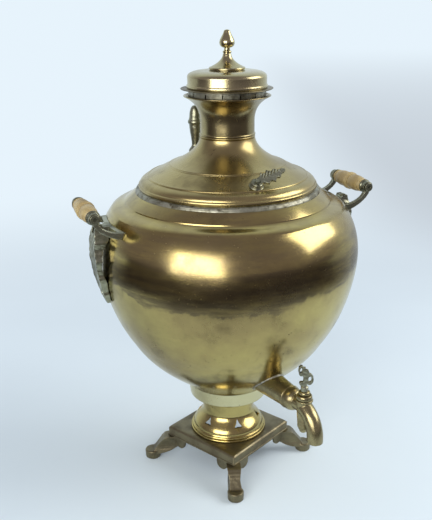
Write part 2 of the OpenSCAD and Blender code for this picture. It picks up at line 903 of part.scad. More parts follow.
// Side view of the hanging leaf: from its tip out and up to the curl under the grip, and back down the body
module leaf_side() {
    tip = [body_at(leaf_z) + leaf_tip_t, leaf_z];
    bar_top = bracket_z + arm_w - 3;
    root = [body_at(bar_top), bar_top];
    curl = leaf_top - [7, 0];
    n = 16;
    polygon(concat(
        [tip],
        curve(tip, [body_r + leaf_bow, leaf_z + leaf_l * 0.28],
            [body_r + 1.8 * leaf_bow, leaf_z + leaf_l * 0.69], leaf_top, 14),
        [curl],
        curve(curl, curl - [0, 6], root + [8, 1], root, 5),
        [
            for (i = [n:-1:0])
                let (z = leaf_z + (bar_top - leaf_z) * i / n)
                    [body_at(z) + leaf_arch(i / n), z]
        ]
    ));
}

// Half width of the leaf, lobed, at share s of its length from the tip
function leaf_half(s) = leaf_w / 2 * (0.36 + 0.64 * sin(165 * s)) * (1 + 0.08 * sin(360 * 4 * s));

module leaf_front() {
    n = 28;
    right = [for (i = [0:n]) [leaf_half(i / n), leaf_l * i / n]];
    polygon(concat(right, [for (p = back(right)) [-p.x, p.y]]));
}

module handle_bracket() {
    bar_l = 2 * arm_in + 2 * arm_t;
    color(bronze)
        difference() {
            union() {
                for (side = [-1, 1])
                    translate([0, side * (arm_in + arm_t / 2), 0])
                        rotate([90, 0, 0])
                            linear_extrude(arm_t, center = true) arm_side();
                intersection() {
                    translate([body_at(bracket_z) - bar_l / 4, -bar_l / 2, bracket_z - 4])
                        cube([bar_l / 2, bar_l, arm_w + 1]);
                    cylinder(r = body_at(bracket_z) + bar_t, h = grip_z, $fn = 96);
                }
                intersection() {
                    rotate([90, 0, 0])
                        linear_extrude(leaf_w + 10, center = true) leaf_side();
                    translate([0, 0, leaf_z])
                        rotate([90, 0, 90])
                            linear_extrude(grip_out * 1.2) leaf_front();
                }
            }
            body_hull();
            translate([grip_out, 0, grip_z])
                rotate([90, 0, 0])
                    cylinder(d = rod_d, h = bar_l + 2, center = true);
            for (z = rivet_heights)
                at_body(z) {
                    cylinder(d = bracket_rivet_d, h = 2 * rivet_reach, center = true);
                    translate([0, 0, rivet_grip])
                        cylinder(r = bracket_rivet_d, h = rivet_reach);
                }
        }
}

module bracket_rivets() {
    d = bracket_rivet_d;
    color(bronze)
        for (z = rivet_heights)
            at_body(z) {
                translate([0, 0, -rivet_in])
                    cylinder(d = d, h = rivet_grip + rivet_in);
                translate([0, 0, -rivet_in])
                    cylinder(d = d * 1.8, h = rivet_in - body_t - 0.8);
                translate([0, 0, rivet_grip])
                    spun_solid([[0, 0], [d * 0.87, 0], [d * 0.7, d * 0.35], [0, d / 2]]);
            }
}

module along_grip() {
    translate([grip_out, 0, grip_z])
        rotate([90, 0, 0])
            children();
}

// Half outline of the wooden grip from its middle bead to its end
function grip_half() =
    let (r = grip_d / 2, e = grip_l / 2)
        concat(
            bead([r - 0.6, 0], [r - 0.6, 2.6], 0.9),
            bead([r - 0.9, 2.6], [r - 1, 4.6], 0.7),
            curve([r - 1.4, 4.8], [r - 0.4, e * 0.4], [r - 0.8, e * 0.7], [r - 3.2, e - 6], 8),
            bead([r - 3.2, e - 5.6], [r - 3.2, e - 2.8], 1),
            [[r - 3.8, e - 2.4], [r - 4, e]]
        );

module handle_grip() {
    half_line = grip_half();
    color(wood)
        along_grip()
            difference() {
                spun_solid(concat(
                    [[0, -grip_l / 2]],
                    [for (p = back(half_line)) [p.x, -p.y]],
                    half_line,
                    [[0, grip_l / 2]]
                ));
                cylinder(d = rod_d, h = grip_l + 2 * cut, center = true);
            }
}

module grip_ferrules() {
    r = grip_d * 0.36;
    color(bronze)
        for (side = [0, 1])
            along_grip()
                mirror([0, 0, side])
                    translate([0, 0, grip_l / 2])
                        difference() {
                            spun_solid([[0, 0], [r, 0], [r + 0.6, 1], [r - 1, ferrule_t], [0, ferrule_t]]);
                            translate([0, 0, -cut]) cylinder(d = rod_d, h = ferrule_t + 2 * cut);
                        }
}

module handle_rod() {
    out = arm_in + arm_t;
    color(bronze)
        along_grip() {
            cylinder(d = rod_d, h = 2 * out, center = true);
            for (side = [0, 1])
                mirror([0, 0, side])
                    translate([0, 0, out])
                        difference() {
                            spun_solid(concat(
                                [[0, 0]],
                                bead([rod_d, 0], [rod_d, head_t], 0.7),
                                [[0, head_t]]
                            ));
                            translate([0, 0, head_t - 1]) cylinder(r = rod_d / 2, h = 2);
                        }
        }
}

module left_side() {
    rotate([0, 0, handle_turn + 180]) children();
}

module right_side() {
    rotate([0, 0, handle_turn]) children();
}

// ---------- cover ----------

skirt_r = cover_r - 11;
skirt_z = cover_h * 0.213;
slope_r = cover_r * 0.657;
slope_z = cover_h * 0.432;

function skirt(a, b) = curve(a, a + [-0.8, 4], b + [4.5, -1.6], b, 6);
function cover_line() =
    let (slope = [slope_r, slope_z], neck = [neck_r, cover_h - neck_bead_h])
        concat(
            [[cover_r, 0], [cover_r - 1.5, 5]],
            skirt([cover_r - 1.5, 5], [skirt_r, skirt_z]),
            [[skirt_r - 2.5, skirt_z + 1.6]],
            curve([skirt_r - 2.5, skirt_z + 1.6], [skirt_r - 10, skirt_z + 5], slope + [8, -3.8], slope, 6),
            curve(slope, slope + [-16, 6], neck + [2.5, -15], neck, 16),
            [[neck_r - neck_in, cover_h - neck_bead_h + 0.8], [neck_r - neck_in, cover_h]]
        );
function cover_face() =
    let (slope = [slope_r, slope_z], neck = [neck_r, cover_h - neck_bead_h])
        concat(
            bead([cover_r - 1, 0], [cover_r - 1, 4.6], 1, 6),
            [[cover_r - 1.8, 5.2]],
            skirt([cover_r - 1.8, 5.2], [skirt_r + 0.4, skirt_z - 0.4]),
            bead([skirt_r, skirt_z], [skirt_r - 2.2, skirt_z + 1.6], 0.8, 5),
            curve([skirt_r - 2.6, skirt_z + 1.7], [skirt_r - 10, skirt_z + 5], slope + [8, -3.8],
                slope + [1.4, -0.7], 6),
            bead(slope + [1, -0.5], slope + [-0.6, 0.4], 0.35, 4),
            bead(slope + [-1, 0.5], slope + [-2.8, 1.4], 0.35, 4),
            curve(slope + [-3, 1.5], slope + [-16, 6], neck + [2.5, -15], neck, 15),
            [neck + [-0.9, 0.4]],
            bead(neck + [-0.6, 0.9], [neck_r - 0.6, cover_h], 0.8, 5)
        );
// Height of the cover's face at radius r
function cover_at(r) =
    let (line = back(cover_line()))
        seat_z + height_at(line, r);

knob_z = cover_at(knob_out);
knob_stud_d = 4;
knob_hold = 13;
vent_z = cover_at(vent_out);
vent_tilt = atan2(cover_at(vent_out - 3) - cover_at(vent_out + 3), 6);
seat_h = 3.4;
leaf_base_h = 2.4;
steam_hole_d = 3;
steam_hole_out = 4.6;
vent_screw_d = 3;
// Radial running clearance of the vent's leaf on its screw
vent_gap = 0.05;

module at_knob() {
    rotate([0, 0, knob_turn])
        translate([0, -knob_out, knob_z])
            children();
}

// The vent's frame: its Z is square to the cover, its -Y points down the cover's slope
module at_vent() {
    rotate([0, 0, vent_turn])
        translate([0, -vent_out, vent_z])
            rotate([vent_tilt, 0, 0])
                children();
}

module cover_solid() {
    translate([0, 0, seat_z])
        spun_solid(concat([[0, 0]], cover_face(), [[0, cover_h]]));
}

module steam_holes(h) {
    for (side = [-1, 1])
        translate([side * steam_hole_out, 0, 0])
            cylinder(d = steam_hole_d, h = h, center = true);
}

module cover_shell() {
    color(brass)
        difference() {
            translate([0, 0, seat_z])
                spun(cover_face(), cover_line(), cover_t);
            at_knob() cylinder(d = knob_stud_d, h = cover_h / 2, center = true);
            at_vent() {
                cylinder(d = vent_screw_d, h = cover_h / 2, center = true);
                steam_holes(cover_h / 2);
            }
        }
}

module neck_spigot() {
    held = neck_bead_h - 0.8;
    color(brass)
        translate([0, 0, collar_z - held])
            difference() {
                cylinder(r = spigot_r, h = spigot_h + held);
                translate([0, 0, -cut])
                    cylinder(r = spigot_r - spigot_t, h = spigot_h + held + 2 * cut);
            }
}

module rear_knob() {
    r = knob_r;
    h = knob_h;
    color(bronze)
        difference() {
            at_knob()
                spun_solid(concat(
                    [[0, -8], [r, -8], [r, 1.4]],
                    curve([r, 1.4], [r - 1, 5], [r - 3.6, 5], [r - 3.8, 9], 5),
                    curve([r - 3.8, 9], [r - 3.6, h * 0.3], [r - 1, h * 0.42], [r - 0.9, h * 0.58], 7),
                    bead([r - 0.4, h * 0.6], [r - 0.4, h * 0.68], 1.2, 6),
                    curve([r - 1, h * 0.69], [r - 1, h * 0.8], [r * 0.75, h * 0.94], [r * 0.4, h * 0.98], 7),
                    [[0, h]]
                ));
            cover_solid();
            at_knob() cylinder(d = knob_stud_d, h = 2 * knob_hold, center = true);
            for (i = [0:9])
                at_knob()
                    rotate([0, 0, 36 * i])
                        translate([r + 0.2, 0, h * 0.2])
                            cylinder(r = 1.3, h = h * 0.38, $fn = 24);
        }
}

// The stud of the rear knob with its wedge washer and its nut, inside the cover
module knob_nut() {
    washer_r = 5;
    nut_h = 3;
    depth = washer_r + 4;
    color(steel) {
        at_knob() {
            translate([0, 0, -depth - nut_h]) cylinder(d = knob_stud_d, h = depth + nut_h + knob_hold);
            translate([0, 0, -depth - nut_h])
                cylinder(r = knob_stud_d * 0.9, h = nut_h, $fn = 6);
        }
        intersection() {
            at_knob() translate([0, 0, -depth]) cylinder(r = washer_r, h = 2 * depth);
            translate([0, 0, seat_z])
                spun_solid(concat([[0, 0]], moved_in(cover_line(), cover_t), [[0, cover_h]]));
        }
    }
}

module vent_seat() {
    sunk = 6;
    color(bronze)
        difference() {
            at_vent()
                translate([0, 0, -sunk])
                    spun_solid([
                        [0, 0], [vent_r + 1, 0], [vent_r + 1, sunk + 0.8], [vent_r, sunk + 1.6],
                        [vent_r, sunk + seat_h], [0, sunk + seat_h]
                    ]);
            cover_solid();
            at_vent() {
                cylinder(d = vent_screw_d, h = cover_h / 2, center = true);
                steam_holes(cover_h / 2);
            }
        }
}

// Outline of the cast vent leaf, lobed along both edges
module vent_outline() {
    n = 32;
    upper = [
        for (i = [0:n])
            let (s = i / n)
                [vent_l * s, (7.4 * sin(180 * pow(s, 0.8)) + 1.4) * (1 + 0.2 * sin(360 * 4.5 * s))]
    ];
    polygon(concat(upper, [for (p = back(upper)) [p.x, -p.y]]));
}

module vent_leaf() {
    // Turn of the leaf towards the neck at rest
    inward = 14;
    color(bronze)
        at_vent()
            translate([0, 0, seat_h + part_gap])
                difference() {
                    union() {
                        spun_solid([
                            [0, 0], [vent_r - 0.4, 0], [vent_r - 0.4, leaf_base_h - 0.8],
                            [vent_r - 1.2, leaf_base_h], [0, leaf_base_h]
                        ]);
                        difference() {
                            rotate([0, 0, inward])
                                rotate([0, -vent_rise, 0])
                                    linear_extrude(3.2) vent_outline();
                            translate([-vent_l, -vent_l, -vent_l]) cube([3 * vent_l, 2 * vent_l, vent_l]);
                        }
                    }
                    translate([0, 0, -cut]) cylinder(d = vent_screw_d, h = leaf_base_h + 2 * cut);
                    translate([0, 0, leaf_base_h]) cylinder(r = 3.4, h = vent_l);
                    rotate([0, 0, 90]) steam_holes(2 * leaf_base_h + 12);
                }
}

module vent_screw() {
    nut_h = 2.4;
    nut_top = -cover_t - 0.3;
    low = nut_top - nut_h;
    top = seat_h + part_gap + leaf_base_h + part_gap;
    color(bronze)
        at_vent() {
            translate([0, 0, low]) cylinder(d = vent_screw_d - 2 * vent_gap, h = top - low);
            translate([0, 0, top]) cylinder(r = 2.9, h = 1.6);
            translate([0, 0, low]) cylinder(r = 3.2, h = nut_h);
        }
}

// ---------- draught collar ----------

function collar_line() =
    let (
        low = [collar_low_r, 3],
        waist = [neck_r - 0.5, collar_h * 0.36],
        rim = [collar_rim_r - 1, collar_h]
    )
        concat(
            [[collar_low_r, 0], low, waist],
            curve(waist, waist + [0.5, collar_h * 0.3], rim + [-12.5, -collar_h * 0.17], rim, 14)
        );
function collar_face() =
    let (waist = [neck_r - 0.5, collar_h * 0.36], rim = [collar_rim_r - 1, collar_h])
        concat(
            bead([collar_low_r + 0.2, 0], [collar_low_r + 0.2, 2.8], 0.8, 5),
            [[collar_low_r, 3], waist],
            curve(waist, waist + [0.5, collar_h * 0.3], rim - [12.5, collar_h * 0.17], rim - [0, 1.6], 14),
            bead(rim + [0, -1.5], rim, 0.9, 5)
        );

module draught_collar() {
    color(brass)
        translate([0, 0, collar_z])
            spun(collar_face(), collar_line(), collar_t);
}

// ---------- cap ----------

band_t = 1.2;
band_tabs = 14;
band_slot = 1.6;
stud_d = 4;

function cap_line() =
    let (edge = [cap_r, cap_h * 0.62], top = [finial_base_r + 6, cap_h - 0.6])
        concat(
            [[cap_r, 0], edge],
            curve(edge, edge + [0, cap_h * 0.26], top + [cap_r * 0.22, 0], top, 10),
            [[4, cap_h]]
        );
function cap_face() =
    let (edge = [cap_r, cap_h * 0.62], top = [finial_base_r + 6, cap_h - 0.6])
        concat(
            bead([cap_r, 0], [cap_r, 4.6], 1.1, 7),
            [edge],
            curve(edge, edge + [0, cap_h * 0.26], top + [cap_r * 0.22, 0], top, 10),
            [[4, cap_h]]
        );

module cap_shell() {
    inner = moved_in(cap_line(), cap_t);
    color(brass)
        translate([0, 0, cap_z])
            difference() {
                rotate_extrude($fn = 96)
                    polygon(concat(
                        cap_face(),
                        [[0, cap_h], [0, cap_h - cap_t]],
                        [for (i = [len(inner) - 2:-1:0]) inner[i]]
                    ));
                translate([0, 0, cap_h - 4]) cylinder(d = stud_d, h = 8);
            }
}

module cap_brim() {
    color(red_brass)
        translate([0, 0, brim_z])
            difference() {
                cylinder(r = brim_r, h = brim_t, $fn = 96);
                translate([0, 0, -cut]) cylinder(r = band_r - band_t, h = brim_t + 2 * cut);
            }
}

module cap_band() {
    color(tin)
        translate([0, 0, band_z])
            difference() {
                cylinder(r = band_r, h = band_h);
                translate([0, 0, -cut]) cylinder(r = band_r - band_t, h = band_h + 2 * cut);
                for (i = [0:band_tabs - 1])
                    rotate([0, 0, 360 / band_tabs * i])
                        translate([band_r - band_t - cut, -band_slot / 2, -cut])
                            cube([band_t + 2 * cut, band_slot, band_h * 0.7 + cut]);
            }
}

finial_base_h = finial_h * 0.4;

module finial_base() {
    r = finial_base_r;
    h = finial_base_h;
    waist = [r * 0.25, h * 0.86];
    color(brass)
        translate([0, 0, finial_z])
            difference() {
                spun_solid(concat(
                    [[0, 0], [r - 1, 0]],
                    bead([r - 1, h * 0.02], [r - 1, h * 0.16], 1, 6),
                    [[r - 1.4, h * 0.17]],
                    curve([r - 1.4, h * 0.17], [r * 0.6, h * 0.36], [r * 0.34, h * 0.56], waist, 9),
                    [[r * 0.21, h], [0, h]]
                ));
                translate([0, 0, -cut]) cylinder(d = stud_d, h = h + 2 * cut);
            }
}

module finial() {
    z = finial_base_h;
    h = finial_h - z;
    a = acorn_r;
    color(brass)
        translate([0, 0, finial_z + z]) {
            spun_solid(concat(
                [[0, 0], [4.2, 0]],
                bead([4.2, 0.6], [4.2, 3.2], 1, 5),
                [[3.4, 4], [3.5, h * 0.24]],
                curve([3.5, h * 0.24], [a * 0.85, h * 0.27], [a, h * 0.36], [a, h * 0.46], 6),
                curve([a, h * 0.46], [a, h * 0.62], [a * 0.55, h * 0.75], [a * 0.42, h * 0.93], 8),
                [[a * 0.22, h * 0.985], [0, h]]
            ));
            translate([0, 0, -z - cap_t - 5]) cylinder(d = stud_d, h = z + cap_t + 5);
        }
}

module finial_nut() {
    nut_h = 3.2;
    color(steel)
        translate([0, 0, finial_z - cap_t - part_gap / 2 - nut_h])
            difference() {
                cylinder(r = stud_d * 0.95, h = nut_h, $fn = 6);
                translate([0, 0, -cut]) cylinder(d = stud_d, h = nut_h + 2 * cut);
            }
}

// ---------- the assembly ----------

base_plate();
foot(2);  // foot_front_left
foot(3);  // foot_front_right
foot(1);  // foot_back_left
foot(0);  // foot_back_right
foot_screws();
pedestal();
pedestal_rivets();
fire_drum();
fire_grate();
fire_tube();
body_shell();
mouth_ring();
tap_shank();
tap_body();
tap_plug();
tap_key();
key_pin();
plug_nut();
left_side() handle_bracket();  // handle_bracket_left
right_side() handle_bracket();  // handle_bracket_right
left_side() bracket_rivets();  // bracket_rivets_left
right_side() bracket_rivets();  // bracket_rivets_right
left_side() handle_grip();  // handle_grip_left
right_side() handle_grip();  // handle_grip_right
left_side() grip_ferrules();  // grip_ferrules_left
right_side() grip_ferrules();  // grip_ferrules_right
left_side() handle_rod();  // handle_rod_left
right_side() handle_rod();  // handle_rod_right
cover_shell();
neck_spigot();
rear_knob();
knob_nut();
vent_seat();
vent_leaf();
vent_screw();
draught_collar();
cap_shell();
cap_brim();
cap_band();
finial_base();
finial();
finial_nut();
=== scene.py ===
"""Samovar: the looks of a brass tea urn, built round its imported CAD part.

Every outline is drawn in millimetres, as in the part's source, and cast to metres when its mesh is made.
"""

import logging
import math
from collections.abc import Callable, Sequence
from dataclasses import dataclass, field
from enum import Enum

import bmesh
import bpy
import numpy as np
from mathutils import Matrix, Vector


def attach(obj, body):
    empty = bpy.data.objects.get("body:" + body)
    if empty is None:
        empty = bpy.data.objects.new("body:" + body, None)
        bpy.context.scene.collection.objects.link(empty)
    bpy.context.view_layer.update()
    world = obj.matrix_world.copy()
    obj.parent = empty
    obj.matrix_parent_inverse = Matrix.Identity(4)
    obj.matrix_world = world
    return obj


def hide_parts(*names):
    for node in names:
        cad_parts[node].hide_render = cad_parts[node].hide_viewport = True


MM = 0.001
LOG = logging.getLogger("samovar")

Colour = tuple[float, float, float]
Outline = list[Vector]
Wobble = Callable[[np.ndarray, np.ndarray, np.ndarray], np.ndarray]
Carving = Callable[[np.ndarray], np.ndarray]

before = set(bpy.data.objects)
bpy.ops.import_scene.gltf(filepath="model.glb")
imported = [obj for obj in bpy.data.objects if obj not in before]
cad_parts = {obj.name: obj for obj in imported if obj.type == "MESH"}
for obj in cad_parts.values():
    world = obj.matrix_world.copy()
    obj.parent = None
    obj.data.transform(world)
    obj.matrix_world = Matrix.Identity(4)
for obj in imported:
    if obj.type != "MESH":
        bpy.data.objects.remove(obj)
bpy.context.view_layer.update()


class Body(Enum):
    """The bodies of the urn that move against each other."""

    URN = "urn"
    TAP_KEY = "tap_key"
    COVER = "cover"
    VENT = "vent_lever"
    COLLAR = "draught_collar"
    CAP = "cap"


class Slot(Enum):
    """The material slots of the part."""

    BRASS = "brass"
    PALE_BRASS = "pale_brass"
    RED_BRASS = "red_brass"
    BRONZE = "dark_bronze"
    TIN = "tinning"
    IRON = "iron"
    STEEL = "steel"
    WOOD = "wood"


# ---------- outlines ----------


def at(radius: float, height: float) -> Vector:
    """Returns one point of an outline, in millimetres."""
    return Vector((radius, height))


def curve(a: Vector, b: Vector, c: Vector, d: Vector, steps: int) -> Outline:
    """Draws a cubic curve.

    Args:
        a: Where the curve starts. This point isn't returned.
        b: Draws the curve's start.
        c: Draws the curve's end.
        d: Where the curve ends.
        steps: Number of points.

    Returns:
        The points 1 to steps of the curve.
    """
    shares = [i / steps for i in range(1, steps + 1)]
    return [a * (1 - t) ** 3 + b * 3 * (1 - t) ** 2 * t + c * 3 * (1 - t) * t * t + d * t**3 for t in shares]


def bead(a: Vector, b: Vector, proud: float, steps: int = 12) -> Outline:
    """Draws a half-round bead.

    Args:
        a: Start of the bead.
        b: End of the bead.
        proud: How far the bead stands out on the right-hand side of the line from a to b.
        steps: Number of steps along the bead.

    Returns:
        The bead's points, from a to b.
    """
    along = (b - a).normalized()
    out = Vector((along.y, -along.x))
    turns = [math.pi * i / steps for i in range(steps + 1)]
    return [a + (b - a) * (1 - math.cos(t)) / 2 + out * proud * math.sin(t) for t in turns]


def moved_in(line: Outline, sheet: float) -> Outline:
    """Moves a line to its left.

    Args:
        line: Outer face of a spun sheet.
        sheet: Thickness of the sheet.

    Returns:
        The inner face, whose steep ends stay level with those of the line.
    """
    inner = []
    for i, point in enumerate(line):
        along = (line[min(i + 1, len(line) - 1)] - line[max(i - 1, 0)]).normalized()
        level = i in (0, len(line) - 1) and abs(along.y) > 0.3
        inner.append(point + (at(-sheet / along.y, 0) if level else at(-along.y, along.x) * sheet))
    return inner


def radius_at(line: Outline, height: float) -> float:
    """Returns the radius of an outline that runs upwards, at a height."""
    return float(np.interp(height, [p.y for p in line], [p.x for p in line]))


def height_at(line: Outline, radius: float) -> float:
    """Returns the height of an outline that runs inwards, at a radius."""
    ordered = sorted(line, key=lambda p: p.x)
    return float(np.interp(radius, [p.x for p in ordered], [p.y for p in ordered]))


def dents(seed: int, count: int, depth: float, span: tuple[float, float], about: float) -> Wobble:
    """Makes the small dents of long use.

    Args:
        seed: Seed of their places.
        count: Number of dents.
        depth: Depth of the deepest one, in millimetres.
        span: Lowest and highest height.
        about: Radius of the sheet there.

    Returns:
        A wobble that only goes inwards.
    """
    rng = np.random.default_rng(seed)
    turns = rng.uniform(0, 2 * math.pi, count)
    heights = rng.uniform(span[0], span[1], count)
    widths = rng.uniform(5, 22, count)
    depths = depth * rng.uniform(0.3, 1, count)

    def wobble(turn: np.ndarray, radius: np.ndarray, height: np.ndarray) -> np.ndarray:
        """Returns the change of radius."""
        change = np.zeros(np.broadcast(turn, height).shape)
        for t, h, w, d in zip(turns, heights, widths, depths):
            round_about = (np.mod(turn - t + math.pi, 2 * math.pi) - math.pi) * about
            change -= d * np.exp(-((round_about / w) ** 2) - ((height - h) / (0.8 * w)) ** 2)
        return change

    return wobble


# ---------- meshes ----------


class Mould:
    """Gathers the vertices and faces of one piece."""

    def __init__(self, name: str) -> None:
        """Starts an empty piece of that name."""
        self.name = name
        self.points: list[np.ndarray] = []
        self.faces: list[tuple[int, ...]] = []
        self.count = 0

    def net(self, points: np.ndarray, place: Matrix = Matrix(), closed: bool = True) -> "Mould":
        """Adds a net of four-sided faces.

        Args:
            points: Rows and columns of points in millimetres. The rows join up in a ring.
            place: Where the net goes.
            closed: Whether each row joins up as well.

        Returns:
            This mould.
        """
        rows, columns, _ = points.shape
        flat = points.reshape(-1, 3)
        turn = np.array(place.to_3x3())
        self.points.append(flat @ turn.T + np.array(place.translation))
        last = columns if closed else columns - 1
        for i in range(rows):
            here, there = self.count + i * columns, self.count + (i + 1) % rows * columns
            for j in range(last):
                k = (j + 1) % columns
                self.faces.append((here + j, here + k, there + k, there + j))
        self.count += len(flat)
        return self

    def spin(
        self, outline: Outline, place: Matrix = Matrix(), around: int = 128, wobble: Wobble | None = None
    ) -> "Mould":
        """Adds a closed outline spun round its axis.

        Args:
            outline: Points of (radius, height) in millimetres.
            place: Where the spun piece goes.
            around: Number of steps round the axis.
            wobble: Change of radius from angle, radius and height.

        Returns:
            This mould.
        """
        turn = (np.arange(around) * 2 * math.pi / around)[:, None]
        radius = np.array([p.x for p in outline])[None, :] + 0 * turn
        height = np.array([p.y for p in outline])[None, :] + 0 * turn
        if wobble:
            radius = radius + np.where(radius > 1, wobble(turn, radius, height), 0)
        return self.net(np.stack([radius * np.cos(turn), radius * np.sin(turn), height], axis=2), place)

    def piece(self, sharp: float = 38) -> bpy.types.Object:
        """Makes the object.

        Args:
            sharp: Edges steeper than this many degrees stay crisp.

        Returns:
            The new object, with its place in its vertices.
        """
        mesh = bpy.data.meshes.new(self.name)
        mesh.from_pydata((np.concatenate(self.points) * MM).tolist(), [], self.faces)
        work = bmesh.new()
        work.from_mesh(mesh)
        bmesh.ops.remove_doubles(work, verts=work.verts, dist=1e-7)
        bmesh.ops.dissolve_degenerate(work, edges=work.edges, dist=1e-8)
        bmesh.ops.recalc_face_normals(work, faces=work.faces)
        work.to_mesh(mesh)
        work.free()
        mesh.validate()
        obj = bpy.data.objects.new(self.name, mesh)
        bpy.context.scene.collection.objects.link(obj)
        soften(obj, sharp)
        return obj


def soften(obj: bpy.types.Object, sharp: float) -> None:
    """Shades an object smoothly except over edges steeper than sharp degrees."""
    mesh = obj.data
    mesh.polygons.foreach_set("use_smooth", [True] * len(mesh.polygons))
    mesh.set_sharp_from_angle(angle=math.radians(sharp))


def set_modifiers(obj: bpy.types.Object) -> None:
    """Makes the modified shape of an object its own mesh."""
    shape = obj.evaluated_get(bpy.context.evaluated_depsgraph_get())
    mesh = bpy.data.meshes.new_from_object(shape)
    obj.modifiers.clear()
    obj.data = mesh


def cut_out(obj: bpy.types.Object, cutter: bpy.types.Object, sharp: float = 38) -> None:
    """Cuts the shape of one object out of another and throws the cutter away."""
    cut = obj.modifiers.new("cut", "BOOLEAN")
    cut.object, cut.operation, cut.solver = cutter, "DIFFERENCE", "EXACT"
    set_modifiers(obj)
    bpy.data.objects.remove(cutter)
    soften(obj, sharp)


def cast(
    name: str, node: str, grain: float, fettled: int, carving: Carving | None = None
) -> bpy.types.Object:
    """Makes a cast piece: the CAD shape with soft edges, and relief carved in it.

    Args:
        name: Name of the new piece.
        node: CAD node that gives the shape.
        grain: Size of its finest detail, in millimetres.
        fettled: How often its surface is smoothed.
        carving: How far each point goes in (below 0) or out, from points in millimetres.

    Returns:
        The new object.
    """
    obj = bpy.data.objects.new(name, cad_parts[node].data.copy())
    obj.data.materials.clear()
    bpy.context.scene.collection.objects.link(obj)
    skin = obj.modifiers.new("skin", "REMESH")
    skin.mode, skin.voxel_size = "VOXEL", grain * MM * 1
    smooth = obj.modifiers.new("fettle", "SMOOTH")
    smooth.factor, smooth.iterations = 0.5, fettled
    set_modifiers(obj)
    mesh = obj.data
    count = len(mesh.vertices)
    places, normals = np.empty(count * 3), np.empty(count * 3)
    mesh.vertices.foreach_get("co", places)
    mesh.vertices.foreach_get("normal", normals)
    places, normals = places.reshape(-1, 3), normals.reshape(-1, 3)
    if carving:
        places = places + normals * carving(places / MM)[:, None] * MM
    corners = np.array([corner.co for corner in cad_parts[node].data.vertices])
    places = np.clip(places, corners.min(axis=0), corners.max(axis=0))
    mesh.vertices.foreach_set("co", places.ravel())
    mesh.update()
    soften(obj, 60)
    return obj


def ripple(points: np.ndarray, size: float, seed: int = 0) -> np.ndarray:
    """Returns a soft random height from -1 to 1 at each point, with waves about size millimetres long."""
    rng = np.random.default_rng(seed)
    total = np.zeros(len(points))
    for _ in range(6):
        way = rng.normal(size=3)
        way *= 2 * math.pi / size / np.linalg.norm(way) * rng.uniform(0.7, 1.4)
        total += np.sin(points @ way + rng.uniform(0, 2 * math.pi))
    return total / 4


# ---------- finishes ----------


